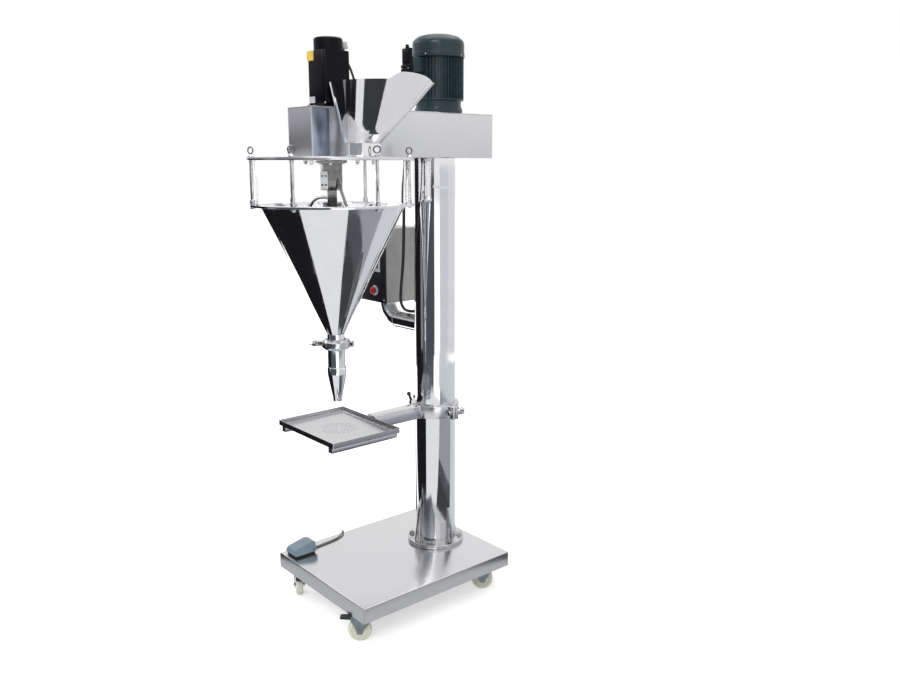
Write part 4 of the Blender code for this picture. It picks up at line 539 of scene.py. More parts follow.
def mesh_of(part, name):
    """The mesh of a finished bmesh."""
    mesh = bpy.data.meshes.new(name)
    part.to_mesh(mesh)
    part.free()
    return mesh


def linked(name, content):
    """A new object of the scene that holds a mesh, curve, light or camera."""
    thing = bpy.data.objects.new(name, content)
    bpy.context.scene.collection.objects.link(thing)
    return thing


def plain_box(low, high):
    part = bmesh.new()
    low = Vector(low)
    high = Vector(high)
    middle = Matrix.Translation((low + high) / 2)
    bmesh.ops.create_cube(part, size=1.0, matrix=middle @ Matrix.Diagonal((*(high - low), 1.0)))
    return part


def face_outward(part):
    bmesh.ops.recalc_face_normals(part, faces=part.faces)


def smooth(mesh):
    """Smooth shading that breaks at sharp edges."""
    mesh.shade_smooth()
    mesh.set_sharp_from_angle(angle=math.radians(35))


def bevel(part, edges, radius, segments=2):
    bmesh.ops.bevel(part, geom=edges, offset=radius, segments=segments, affect="EDGES",
                    profile=0.5, material=-1)


def spin(part, geometry, angle, steps, **options):
    bmesh.ops.spin(part, geom=geometry, cent=(0, 0, 0), axis=(0, 0, 1), angle=angle, steps=steps,
                   **options)


def push(part, face, offset):
    """Extrudes a face along an offset."""
    pushed = bmesh.ops.extrude_face_region(part, geom=[face])
    moved = [item for item in pushed["geom"] if isinstance(item, bmesh.types.BMVert)]
    bmesh.ops.translate(part, verts=moved, vec=offset)


class Shape:
    """A mesh that grows part by part, each part placed by a matrix."""

    def __init__(self):
        self.mesh = bmesh.new()

    def take(self, part, place=None):
        if place is not None:
            bmesh.ops.transform(part, matrix=place, verts=part.verts)
        holder = mesh_of(part, "part")
        self.mesh.from_mesh(holder)
        bpy.data.meshes.remove(holder)
        return self

    def lathe(self, corners, place=None, steps=96, ease=3):
        """A closed profile of (radius, height), or one that starts and ends on the axis.

        A corner may carry a third number, the radius that eases it in so many steps.
        """
        part = bmesh.new()
        on_axis = corners[0][0] < 1e-6 and corners[-1][0] < 1e-6
        verts = [part.verts.new((point.x, 0.0, point.y))
                 for point in rounded(corners, not on_axis, ease)]
        ends = verts[1:] if on_axis else verts[1:] + verts[:1]
        edges = [part.edges.new(pair) for pair in zip(verts, ends)]
        spin(part, verts + edges, math.tau, steps, use_merge=True, use_duplicate=False)
        bmesh.ops.remove_doubles(part, verts=part.verts, dist=1e-6)
        face_outward(part)
        return self.take(part, place)

    def part_turn(self, corners, angle, steps, place):
        """A closed profile of (radius, height) swept a part of the way round, with flat ends."""
        part = bmesh.new()
        face = part.faces.new([
            part.verts.new((point.x, 0.0, point.y)) for point in rounded(corners)])
        spin(part, [face], angle, steps, use_merge=False)
        face_outward(part)
        return self.take(part, place)

    def disc(self, radius, low, high, place=None, edge=0.0006, steps=48):
        """A plain round solid between two heights, with its rims eased."""
        return self.lathe([
            (0, low), (radius, low, edge), (radius, high, edge), (0, high)], place, steps, 2)

    def block(self, low, high, radius=0.0008, segments=2, place=None):
        part = plain_box(low, high)
        if radius > 0:
            bevel(part, part.edges[:], radius, segments)
        return self.take(part, place)

    def plate(self, outline, depth, place=None, edge=0.0006):
        """An outline in XY pushed up by a depth, its sharp rims eased."""
        part = bmesh.new()
        base = part.faces.new([part.verts.new((x, y, 0.0)) for x, y in outline])
        push(part, base, (0, 0, depth))
        face_outward(part)
        if edge > 0:
            rims = [rim for rim in part.edges if abs(rim.verts[0].co.z - rim.verts[1].co.z) < 1e-9]
            bevel(part, rims, edge)
        return self.take(part, place)

    def hexagon(self, across, low, high, place=None):
        """A hexagonal head or nut with its corners turned down."""
        radius = across / 2
        part = bmesh.new()
        bmesh.ops.create_cone(
            part, cap_ends=True, segments=6, radius1=radius, radius2=radius, depth=high - low,
            matrix=Matrix.Translation((0, 0, (low + high) / 2)))
        bevel(part, part.edges[:], 0.0005, 1)
        return self.take(part, place)

    def ball(self, radius, place=None, rings=16):
        part = bmesh.new()
        bmesh.ops.create_uvsphere(part, u_segments=2 * rings, v_segments=rings, radius=radius)
        return self.take(part, place)

    def ring(self, radius, wire, place=None, steps=48, sides=12):
        """A round wire bent into a ring about Z."""
        angles = [math.tau * index / sides for index in range(sides)]
        profile = [(radius + wire * math.cos(angle), wire * math.sin(angle)) for angle in angles]
        return self.lathe(profile, place, steps)

    def tube(self, path, radius, sides=16, inner=0.0, closed=False):
        """A round tube along points, its sections carried without twist."""
        part = bmesh.new()
        rings = sweep(part, path, radius, sides, closed)
        if inner > 0.0:
            inside = sweep(part, path, inner, sides, closed)
            for outer_ring, inner_ring in ((rings[0], inside[0]), (rings[-1], inside[-1])):
                edges = loop_edges(outer_ring) + loop_edges(inner_ring)
                bmesh.ops.bridge_loops(part, edges=edges)
        elif not closed:
            part.faces.new(rings[0])
            part.faces.new(rings[-1])
        face_outward(part)
        return self.take(part)

    def bolt(self, place, across=0.014, head=0.006, washer=0.0):
        """A hexagon head on its washer, looking out along the place's +Z."""
        base = 0.0
        if washer > 0.0:
            base = 0.0015
            self.disc(washer, 0.0, base, place, 0.0003, 32)
        return self.hexagon(across, base, base + head, place)

    def cap_screw(self, place, radius=0.004, head=0.004):
        """A socket cap screw with its sunk hexagon."""
        socket = radius * 0.5
        return self.lathe([(0, head * 0.45), (socket, head * 0.45), (socket, head, 0.0002),
                           (radius, head, radius * 0.15), (radius, 0.0), (0, 0.0)], place, 24, 2)

    def pan_screw(self, place, radius=0.0035):
        """A domed screw head with a sunk dimple for its driver."""
        height = radius * 0.6
        profile = [(0, height * 0.55), (radius * 0.22, height * 0.7), (radius * 0.34, height),
                   (radius * 0.7, height * 0.82), (radius * 0.95, height * 0.35), (radius, 0.0),
                   (0, 0.0)]
        return self.lathe(profile, place, 20)

    def object(self, name, finish_name, replaced=None, body="frame", slot="polished_stainless"):
        """The finished piece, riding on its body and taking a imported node's place."""
        mesh = mesh_of(self.mesh, name)
        mesh.materials.append(finish(finish_name))
        smooth(mesh)
        piece = linked(name, mesh)
        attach(piece, body)
        if replaced:
            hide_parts(replaced)
        return piece


def loop_edges(ring):
    edges = []
    for first, second in zip(ring, ring[1:] + ring[:1]):
        edge = next(edge for edge in first.link_edges if edge.other_vert(first) == second)
        edges.append(edge)
    return edges


def sweep(part, path, radius, sides, closed):
    """Rings of a section carried along points without twist, joined into a wall."""
    count = len(path)
    rings = []
    side = None
    for index, here in enumerate(path):
        if closed:
            along = path[(index + 1) % count] - path[index - 1]
        else:
            along = path[min(index + 1, count - 1)] - path[max(index - 1, 0)]
        along.normalize()
        if side is None:
            side = along.orthogonal().normalized()
        side = (side - along * side.dot(along)).normalized()
        up = along.cross(side)
        reach = radius[index] if isinstance(radius, (list, tuple)) else radius
        ring = []
        for step in range(sides):
            angle = math.tau * step / sides
            ring.append(
                part.verts.new(here + (side * math.cos(angle) + up * math.sin(angle)) * reach))
        rings.append(ring)
    pairs = list(zip(rings, rings[1:]))
    if closed:
        pairs.append((rings[-1], rings[0]))
    for lower, upper in pairs:
        for step in range(sides):
            after = (step + 1) % sides
            part.faces.new((lower[step], lower[after], upper[after], upper[step]))
    return rings


def smooth_route(route, spacing):
    """Points about one spacing apart on a smooth curve through the route's own points."""
    padded = [2 * route[0] - route[1], *route, 2 * route[-1] - route[-2]]
    points = []
    for before, start, end, after in zip(padded, padded[1:], padded[2:], padded[3:]):
        count = max(1, round((end - start).length / spacing))
        for step in range(count):
            share = step / count
            points.append(0.5 * (2 * start + (end - before) * share
                                 + (2 * before - 5 * start + 4 * end - after) * share ** 2
                                 + (3 * start - before - 3 * end + after) * share ** 3))
    points.append(route[-1])
    return points


def circle(radius, count, start=0.0):
    angles = [math.radians(start) + math.tau * index / count for index in range(count)]
    return [(radius * math.cos(angle), radius * math.sin(angle)) for angle in angles]


def carve(piece, *cutters):
    """Cuts each cutter out of a piece for good and removes the cutter."""
    for cutter in cutters:
        step = piece.modifiers.new("cut", "BOOLEAN")
        step.operation = "DIFFERENCE"
        step.object = cutter
        step.solver = "EXACT"
    bpy.context.view_layer.update()
    evaluated = piece.evaluated_get(bpy.context.evaluated_depsgraph_get())
    shape = bpy.data.meshes.new_from_object(evaluated)
    piece.modifiers.clear()
    smooth(shape)
    piece.data = shape
    for cutter in cutters:
        bpy.data.objects.remove(cutter, do_unlink=True)
    return piece


def cutter(shape):
    return linked("cutter", mesh_of(shape.mesh, "cutter"))


def open_box(shape, low, high, wall, radius, side="+Z"):
    """A folded sheet box, hollow and open on one side."""
    part = plain_box(low, high)
    axis = "XYZ".index(side[1])
    sign = 1 if side[0] == "+" else -1
    open_face = max(part.faces, key=lambda face: face.normal[axis] * sign)
    rim = set(open_face.edges)
    part.faces.remove(open_face)
    folds = [edge for edge in part.edges if edge not in rim]
    bevel(part, folds, radius, 4)
    face_outward(part)
    bmesh.ops.solidify(part, geom=part.faces[:], thickness=wall)
    return shape.take(part)


def refinished(node, finish_name):
    """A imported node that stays, with its new finish."""
    mesh = NODES[node].data
    mesh.materials.clear()
    mesh.materials.append(finish(finish_name))


# Deck and casters


class FILLER_OT_deck(bpy.types.Operator):
    """Folded deck with its cross channels and corner seams"""

    bl_idname = "filler.deck"
    bl_label = "Deck"

    def execute(self, context):
        values = sizes()
        shape = Shape()
        open_box(shape, DECK.low, DECK.high, values.deck_wall, values.fold_radius, "-Z")
        wall = values.deck_wall
        channel_top = DECK.high.z - wall - GAP
        channel_bottom = DECK.high.z - wall - values.channel_drop
        inset = 2 * wall
        for y in (DECK.low.y + values.caster_inset, DECK.high.y - values.caster_inset):
            open_box(shape, (DECK.low.x + inset, y - values.channel_width / 2, channel_bottom),
                     (DECK.high.x - inset, y + values.channel_width / 2, channel_top), wall,
                     values.fold_radius, "+Z")
        shape.object("deck", "deck_steel", "base_deck", slot="brushed_stainless")
        seams = Shape()
        bead = 0.0012
        for x, y in ((DECK.low.x, DECK.low.y), (DECK.high.x, DECK.low.y),
                     (DECK.low.x, DECK.high.y), (DECK.high.x, DECK.high.y)):
            inward = 0.0011
            corner_x = x + (inward if x < DECK.middle.x else -inward)
            corner_y = y + (inward if y < DECK.middle.y else -inward)
            seams.disc(bead, DECK.low.z + 0.001, DECK.high.z - values.fold_radius - 0.001,
                       upright((corner_x, corner_y, 0)), 0.0004, 12)
        seams.object("deck_corner_seams", "weld_bead", slot="brushed_stainless")
        return {"FINISHED"}


PEDAL_PIN_X = 0.052
PEDAL_PIN_Z = 0.084


def caster_places():
    """Each caster's place on the floor, turned the way its wheel trails."""
    values = sizes()
    inset = values.caster_inset
    places = {}
    for corner, x, y in (("fl", DECK.low.x + inset, DECK.low.y + inset),
                         ("fr", DECK.high.x - inset, DECK.low.y + inset),
                         ("rl", DECK.low.x + inset, DECK.high.y - inset),
                         ("rr", DECK.high.x - inset, DECK.high.y - inset)):
        wheel = Extent("caster_" + corner + "_wheel").middle
        heading = math.degrees(math.atan2(wheel.y - y, wheel.x - x))
        places[corner] = upright((x, y, 0.0), heading)
    return places


def caster_fork(shape, place, braked):
    """Race, bridge, two pressed legs, axle bolt and nut, about the kingpin."""
    values = sizes()
    top = DECK.high.z - values.deck_wall - values.channel_drop - GAP
    shape.lathe([(0, top - 0.008), (0.020, top - 0.008, 0.001), (0.024, top - 0.004, 0.002),
                 (0.024, top, 0.0008), (0, top)], place, 48)
    trail = values.caster_trail
    axle_height = values.wheel_radius
    leg_offset = values.wheel_width / 2 + 0.002
    sheet = 0.003
    bridge_bottom = 0.090
    shape.block((-0.020, -leg_offset - sheet, bridge_bottom),
                (0.024, leg_offset + sheet, top - 0.0065), 0.0025, 3, place)
    tip = 0.058 if braked else 0.040
    outline = rounded([
        (-0.020, top - 0.0085, 0.003), (-0.020, bridge_bottom - 0.002, 0.006),
        (trail - 0.013, axle_height + 0.004, 0.008), (trail - 0.010, axle_height - 0.012, 0.008),
        (trail + 0.010, axle_height - 0.012, 0.008), (trail + 0.013, axle_height + 0.006, 0.010),
        (tip, 0.078, 0.004), (tip, bridge_bottom, 0.003), (0.024, top - 0.0095, 0.004)], steps=4)
    for side in (-1, 1):
        start = side * leg_offset if side < 0 else leg_offset + sheet
        stand = Matrix.Translation((0, start, 0)) @ LYING
        shape.plate(outline, sheet, place @ stand, 0.0007)
    across = place @ facing(Y_AXIS, Vector((trail, 0, axle_height)))
    shape.disc(0.0039, -leg_offset, leg_offset, across, 0.0002, 24)
    outside = leg_offset + sheet
    for side in (-1, 1):
        end = place @ facing(Y_AXIS * side, Vector((trail, side * outside, axle_height)))
        shape.disc(0.0072, 0.0, 0.0010, end, 0.0003, 32)
        shape.hexagon(0.0120, 0.0010, 0.0034, end)
    for angle in range(0, 360, 60):
        dimple = place @ upright((0, 0, 0), angle) @ Matrix.Translation((0.0205, 0, top - 0.0080))
        shape.ball(0.0016, dimple, 6)
    if braked:
        pin = place @ facing(Y_AXIS, Vector((PEDAL_PIN_X, 0, PEDAL_PIN_Z)))
        shape.disc(0.0019, -leg_offset, leg_offset, pin, 0.0002, 16)
        for side in (-1, 1):
            end = place @ facing(Y_AXIS * side, Vector((PEDAL_PIN_X, side * outside, PEDAL_PIN_Z)))
            shape.disc(0.0034, 0.0, 0.0012, end, 0.0005, 20)
    return shape


def caster_wheel(shape, place):
    """A crowned tread, dished web and raised hub."""
    values = sizes()
    radius = values.wheel_radius
    half = values.wheel_width / 2
    bore = 0.0043
    side = [(radius, 0.0), (radius - 0.0004, half * 0.45), (radius - 0.0022, half * 0.82, 0.002),
            (radius - 0.006, half, 0.0015), (radius - 0.0115, half, 0.001),
            (radius - 0.013, half - 0.0045, 0.0015), (0.0150, half - 0.0055, 0.002),
            (0.0120, half - 0.0005, 0.001), (bore, half - 0.0002)]
    upper = rounded(side, closed=False, steps=3)
    lower = [Vector((point.x, -point.y)) for point in reversed(upper[1:])]
    return shape.lathe(upper + lower, place, 96)


def brake_pedal(shape, place):
    """A ribbed foot lever on its pin."""
    outline = rounded([(-0.006, -0.0042, 0.002), (0.006, -0.0050, 0.002), (0.040, -0.0030, 0.002),
                       (0.044, 0.0004, 0.002), (0.040, 0.0042, 0.002), (0.004, 0.0056, 0.003),
                       (-0.006, 0.0046, 0.002)], steps=3)
    half = 0.012
    stand = Matrix.Translation((0, half, 0)) @ LYING
    shape.plate(outline, 2 * half, place @ stand, 0.0012)
    for step in range(5):
        x = 0.016 + 0.005 * step
        height = 0.0054 - 0.0004 * step - 0.0008
        shape.block((x, -half + 0.002, height - 0.001), (x + 0.002, half - 0.002, height + 0.0012),
                    0.0005, 1, place)
    return shape


class FILLER_OT_casters(bpy.types.Operator):
    """Four swivel casters, the front two with brake pedals"""

    bl_idname = "filler.casters"
    bl_label = "Casters"

    def execute(self, context):
        values = sizes()
        for corner, place in caster_places().items():
            label = "caster_" + corner
            braked = corner in ("fl", "fr")
            fork = caster_fork(Shape(), place, braked)
            fork.object(label + "_pressed_fork", "zinc_plate", label + "_fork",
                        body=label + "_swivel", slot="zinc_plate")
            axle = place @ Matrix.Translation((values.caster_trail, 0, values.wheel_radius))
            wheel = caster_wheel(Shape(), axle @ LYING)
            wheel.object(label + "_tyre", "wheel_nylon", label + "_wheel",
                         body=label + "_roller", slot="cream_wheel")
            if braked:
                pin = place @ Matrix.Translation((PEDAL_PIN_X, 0, PEDAL_PIN_Z))
                pedal = brake_pedal(Shape(), pin)
                pedal.object(label + "_pedal", "black_plastic", label + "_brake",
                             body=label + "_pedal", slot="black_plastic")
        return {"FINISHED"}


# Column

HEAD_CABLE_ENTRY = 1.041
HEAD_CABLE_Y = -0.124


class FILLER_OT_column(bpy.types.Operator):
    """Polished column with its bolted foot"""

    bl_idname = "filler.column"
    bl_label = "Column"

    def execute(self, context):
        values = sizes()
        axis = upright((COLUMN_X, COLUMN_Y, 0))
        radius = COLUMN.radius
        bore = radius - 0.003
        tube = Shape()
        tube.lathe([(radius, COLUMN.high.z), (radius, COLUMN.low.z), (bore, COLUMN.low.z),
                    (bore, COLUMN.high.z)], axis, 160)
        column = tube.object("column_pipe", "column_steel", "column_tube")
        elbow_height = ELBOW.low.z + values.elbow_radius
        entry = Shape().disc(values.elbow_radius + GAP, 0.0, 2 * radius,
                             facing(-X_AXIS, near_column(0, 0, elbow_height)), 0.0, 64)
        cable_hole = Shape().disc(0.0075, 0.0, 2 * radius,
                                  facing(-X_AXIS, near_column(0, 0, HEAD_CABLE_ENTRY)), 0.0, 32)
        carve(column, cutter(entry), cutter(cable_hole))

        plate_top = FOOT.low.z + 0.012
        inner = radius + GAP
        foot = Shape()
        foot.lathe([(FOOT.radius, plate_top, 0.0015), (FOOT.radius, FOOT.low.z, 0.0008),
                    (inner, FOOT.low.z), (inner, plate_top)], axis, 128)
        rib = rounded([(inner + 0.0002, -0.0005), (0.100, -0.0005), (0.100, 0.012, 0.003),
                       (inner + 0.004, 0.1345, 0.003), (inner + 0.0002, 0.1345)], steps=3)
        thickness = 0.008
        stand = Matrix.Translation((0, thickness / 2, 0)) @ LYING
        for index in range(values.rib_count):
            turn = upright(near_column(0, 0, plate_top), 360 * index / values.rib_count)
            foot.plate(rib, thickness, turn @ stand, 0.0008)
        foot.object("column_foot_plate", "turned_steel", "column_foot")

        bolts = Shape()
        for index in range(4):
            spot = around(COLUMN_X, COLUMN_Y, 0.093, 90 * index + 45, plate_top)
            bolts.bolt(upright(spot, 17 * index), values.bolt_head, 0.0075, 0.0125)
            bolts.disc(0.0055, 0.009, 0.0135, upright(spot), 0.0008, 24)
        bolts.object("column_foot_bolts", "turned_steel")

        beads = Shape()
        beads.ring(radius + 0.0015, 0.0022, upright(near_column(0, 0, plate_top)), 128, 10)
        for index in range(values.rib_count):
            turn = upright(near_column(0, 0, plate_top), 360 * index / values.rib_count)
            for side in (-1, 1):
                y = side * (thickness / 2 + 0.0006)
                for start, end in (((inner + 0.0012, y, 0.002), (inner + 0.0012, y, 0.132)),
                                   ((inner + 0.002, y, 0.0008), (0.099, y, 0.0008))):
                    beads.tube([turn @ Vector(start), turn @ Vector(end)], 0.0016, 8)
        beads.object("column_foot_welds", "weld_bead")
        return {"FINISHED"}


# Belt housing and its drive


class FILLER_OT_housing(bpy.types.Operator):
    """Folded belt housing with its screwed cover, and the belt drive inside"""

    bl_idname = "filler.housing"
    bl_label = "Belt housing"

    def execute(self, context):
        values = sizes()
        shape = Shape()
        open_box(shape, HOUSING.low, HOUSING.high, 0.003, 0.0022, "+Z")
        shape.object("housing_shell", "housing_steel", "belt_housing", slot="brushed_stainless")
        # A thin strip on the housing's side whose darker bluish steel is a painted reflection.
        flange = Shape()
        flange.block(
            (HOUSING.high.x - 0.0003, HOUSING.low.y + 0.006, HOUSING.low.z + 0.004),
            (HOUSING.high.x + 0.0004, HOUSING.low.y + 0.066, HOUSING.high.z - 0.003), 0.0003, 2)
        flange.object("housing_end_flange", "filmed_steel", slot="brushed_stainless")
        lid = Shape()
        lid.block(COVER.low, COVER.high, 0.0009, 2)
        lid.object("housing_lid", "housing_steel", "belt_housing_cover", slot="brushed_stainless")
        screws = Shape()
        count = values.cover_screws
        margin = 0.008
        reach = COVER.size.y - 2 * 0.020
        for index in range(count):
            y = COVER.low.y + 0.020 + reach * index / (count - 1)
            for x in (COVER.low.x + margin, COVER.high.x - margin):
                screws.pan_screw(upright((x, y, COVER.high.z)), 0.0032)
        screws.object("housing_lid_screws", "turned_steel", slot="brushed_stainless")
        joint = Shape()
        below = facing(-Z_AXIS, near_column(0, HEAD_CABLE_Y, HOUSING.low.z))
        joint.disc(0.0095, 0.0, 0.004, below, 0.0006, 32)
        joint.hexagon(0.0200, 0.004, 0.009, below)
        joint.lathe([(0.0062, 0.009), (0.0092, 0.009), (0.0090, 0.014, 0.001),
                     (0.0068, 0.018, 0.001), (0.0062, 0.018)], below, 32, 2)
        joint.object("head_cable_gland", "black_plastic", slot="black_plastic")
        for node, finish_name in (
            ("drive_belt", "belt_rubber"), ("drive_pulley", "cast_iron"),
            ("driven_pulley", "cast_iron"), ("motor_rotor", "cast_iron"),
            ("servo_shaft", "turned_steel"), ("auger_coupling", "turned_steel")):
            refinished(node, finish_name)
        return {"FINISHED"}


# Motors


class FILLER_OT_motor(bpy.types.Operator):
    """Finned flange motor with its fan cover and screws"""

    bl_idname = "filler.motor"
    bl_label = "Flange motor"

    def execute(self, context):
        values = sizes()
        axis = upright((MOTOR_X, MOTOR_Y, 0))
        bottom = MOTOR.low.z
        top = MOTOR.high.z
        neck_top = bottom + 0.043
        outer = FAN_COVER.radius - 0.0035
        root = outer - values.fin_depth
        body = Shape()
        body.lathe([(0, bottom), (0.0855, bottom, 0.0015), (0.0855, bottom + 0.011, 0.002),
                    (0.081, bottom + 0.014, 0.002), (0.080, neck_top - 0.004, 0.003),
                    (outer, neck_top, 0.0015), (outer, neck_top + 0.004, 0.001),
                    (root, neck_top + 0.0045, 0.001), (root, top), (0, top)], axis, 128)
        fin_bottom = neck_top + 0.002
        fin_top = top - 0.010
        thickness = 0.0030
        pad_share = 20.0
        for index in range(values.motor_fins):
            angle = 360.0 * index / values.motor_fins
            off_pad = abs((angle - 270 + 180) % 360 - 180)
            if off_pad < pad_share:
                continue
            fin = rounded([
                (root - 0.001, -thickness / 2), (outer, -thickness * 0.32, 0.0006),
                (outer, thickness * 0.32, 0.0006), (root - 0.001, thickness / 2)], steps=2)
            body.plate(fin, fin_top - fin_bottom, upright((MOTOR_X, MOTOR_Y, fin_bottom), angle),
                       0.0)
        pad_back = MOTOR_Y - 0.066
        pad_front = TERMINAL.high.y
        pad_half = TERMINAL.size.x / 2 - 0.003
        body.block((MOTOR_X - pad_half, pad_front + GAP, TERMINAL.low.z + 0.003),
                   (MOTOR_X + pad_half, pad_back, TERMINAL.low.z + 0.055), 0.003, 3)
        for angle in (315, 225, 45, 135):
            foot = upright((MOTOR_X, MOTOR_Y, 0), angle)
            body.block((0.066, -0.013, bottom + 0.002), (0.0835, 0.013, bottom + 0.018), 0.003, 2,
                       foot)
        body.object("motor_housing", "motor_paint", "motor_body", slot="motor_paint")

        rim = FAN_COVER.low.z
        high = FAN_COVER.high.z
        radius = FAN_COVER.radius
        cover = Shape()
        sheet = 0.002
        cover.lathe([
            (0.020, high, 0.001), (0.050, high - 0.0012, 0.01), (0.074, high - 0.008, 0.02),
            (radius - 0.003, high - 0.022, 0.02), (radius - 0.0012, high - 0.034, 0.01),
            (radius - 0.0012, rim + 0.016), (radius, rim + 0.015, 0.001), (radius, rim, 0.0008),
            (radius - sheet, rim), (radius - sheet - 0.001, high - 0.034, 0.01),
            (radius - 0.006, high - 0.025, 0.02), (0.073, high - 0.011, 0.02),
            (0.049, high - 0.0035, 0.01), (0.020, high - 0.003)], axis, 128, 4)
        for radius_here in (0.006, 0.011, 0.016):
            cover.ring(radius_here, 0.0011, upright((MOTOR_X, MOTOR_Y, high - 0.0016)), 48, 8)
        for index in range(6):
            spoke = upright((MOTOR_X, MOTOR_Y, high - 0.0016), 60 * index)
            cover.tube([spoke @ Vector((0.001, 0, 0)), spoke @ Vector((0.0205, 0, 0))], 0.0011, 8)
        cover.object("motor_cowl", "motor_paint", "motor_fan_cover", slot="motor_paint")

        fasteners = Shape()
        for angle in (292, 20, 110, 200):
            spot = around(MOTOR_X, MOTOR_Y, radius - 0.0008, angle, rim + 0.007)
            fasteners.pan_screw(facing(around(0, 0, 1, angle, 0), spot), 0.0026)
        for angle in (45, 135, 225, 315):
            spot = around(MOTOR_X, MOTOR_Y, 0.0745, angle, bottom + 0.018)
            fasteners.cap_screw(upright(spot), 0.0055, 0.0055)
        fasteners.object("motor_screws", "turned_steel")
        return {"FINISHED"}


class FILLER_OT_terminal_box(bpy.types.Operator):
    """Terminal box on the motor's front, with its lid and cable gland"""

    bl_idname = "filler.terminal_box"
    bl_label = "Terminal box"

    def execute(self, context):
        low = TERMINAL.low
        high = TERMINAL.high
        gland_top = high.z
        gland_bottom = gland_top - 0.012
        split = low.z + 0.0275
        front = low.y + 0.004
        side = TERMINAL.size.x * 0.08
        shape = Shape()
        shape.block((low.x, low.y + 0.0006, low.z), (high.x, high.y, split), 0.003, 3)
        shape.block((low.x + side, front, split - 0.004), (high.x - side, high.y, gland_bottom),
                    0.003, 3)
        shape.block((low.x + side + 0.003, front - 0.0022, split + 0.004),
                    (high.x - side - 0.003, front + 0.001, gland_bottom - 0.005), 0.001, 2)
        gland = upright((TERMINAL.middle.x, (front + high.y) / 2, gland_bottom))
        shape.hexagon(0.0150, -0.001, 0.005, gland)
        shape.lathe([(0, gland_top - gland_bottom), (0.0052, gland_top - gland_bottom, 0.002),
                     (0.0064, 0.004, 0.001), (0, 0.004)], gland, 32)
        shape.object("terminal_box", "servo_paint", "motor_terminal_box", slot="black_paint")
        screws = Shape()
        for x in (low.x + 0.006, high.x - 0.006):
            screws.pan_screw(facing(-Y_AXIS, Vector((x, low.y + 0.0006, low.z + 0.014))), 0.0024)
        screws.object("terminal_box_screws", "turned_steel")
        return {"FINISHED"}


class FILLER_OT_servo(bpy.types.Operator):
    """Black servo motor with its encoder cap, connector and two bare plates"""

    bl_idname = "filler.servo"
    bl_label = "Servo motor"

    def execute(self, context):
        low = SERVO.low
        high = SERVO.high
        centre = SERVO.middle
        half = SERVO.size.x / 2
        corner = 0.004
        flange = 0.010
        body = Shape()
        square = rounded([(-half, -half, corner), (half, -half, corner), (half, half, corner),
                          (-half, half, corner)], steps=5)
        body.plate(square, flange, Matrix.Translation((centre.x, centre.y, low.z)), 0.0010)
        waist = half - 0.0015
        groove = 0.004
        reach = waist - 0.012
        section = []
        for quarter in range(4):
            turn = Matrix.Rotation(math.radians(90 * quarter), 2)
            for x, y, radius in ((waist, -reach, 0.0010), (waist, reach, 0.0010),
                                 (waist - groove, reach + 0.0025, 0.001),
                                 (waist - groove, waist - groove, 0.002)):
                point = turn @ Vector((x, y))
                section.append((point.x, point.y, radius))
        body.plate(rounded(section, steps=2), SERVO.size.z - flange - 0.0005,
                   Matrix.Translation((centre.x, centre.y, low.z + flange + 0.0005)), 0.0015)
        body.object("servo_body", "servo_paint", "servo_motor", slot="black_paint")

        cap = Shape()
        radius = ENCODER.radius
        bottom = ENCODER.low.z
        top = ENCODER.high.z
        cap.lathe([(0, top), (radius - 0.004, top - 0.0006, 0.003), (radius, top - 0.006, 0.003),
                   (radius, bottom + 0.002), (radius, bottom), (0, bottom)],
                  upright((centre.x, centre.y, 0)), 96, 4)
        cap.object("servo_cap", "servo_paint", "servo_encoder", slot="black_paint")
        connector = Shape()
        inner = centre.y + radius - 0.004
        outer = ENCODER.high.y
        base = bottom + 0.0117
        connector.block((centre.x - 0.011, inner, base),
                        (centre.x + 0.011, outer - 0.001, base + 0.022), 0.0022, 3)
        connector.block((centre.x - 0.0125, inner + 0.009, base - 0.0005),
                        (centre.x + 0.0125, outer, base + 0.010), 0.0015, 2)
        connector.object("servo_connector", "grey_plastic", slot="black_paint")

        plates = Shape()
        skin = 0.0004
        face_y = centre.y - waist
        plates.block((centre.x - 0.047, face_y - skin, high.z - 0.030),
                     (centre.x - 0.008, face_y + 0.0002, high.z - 0.001), 0.0001, 1)
        plates.object("servo_yellow_plate", "plate_yellow", slot="black_paint")
        grey = Shape()
        grey.block((centre.x - 0.040, face_y - skin, low.z + 0.014),
                   (centre.x - 0.006, face_y + 0.0002, low.z + 0.034), 0.0001, 1)
        grey.object("servo_grey_plate", "plate_grey", slot="black_paint")
        bolts = Shape()
        for x in (-1, 1):
            for y in (-1, 1):
                spot = Vector((centre.x + x * (half - 0.0085), centre.y + y * (half - 0.0085),
                               low.z + flange))
                bolts.cap_screw(upright(spot), 0.0045, 0.005)
        bolts.object("servo_screws", "turned_steel")
        return {"FINISHED"}


# Hopper


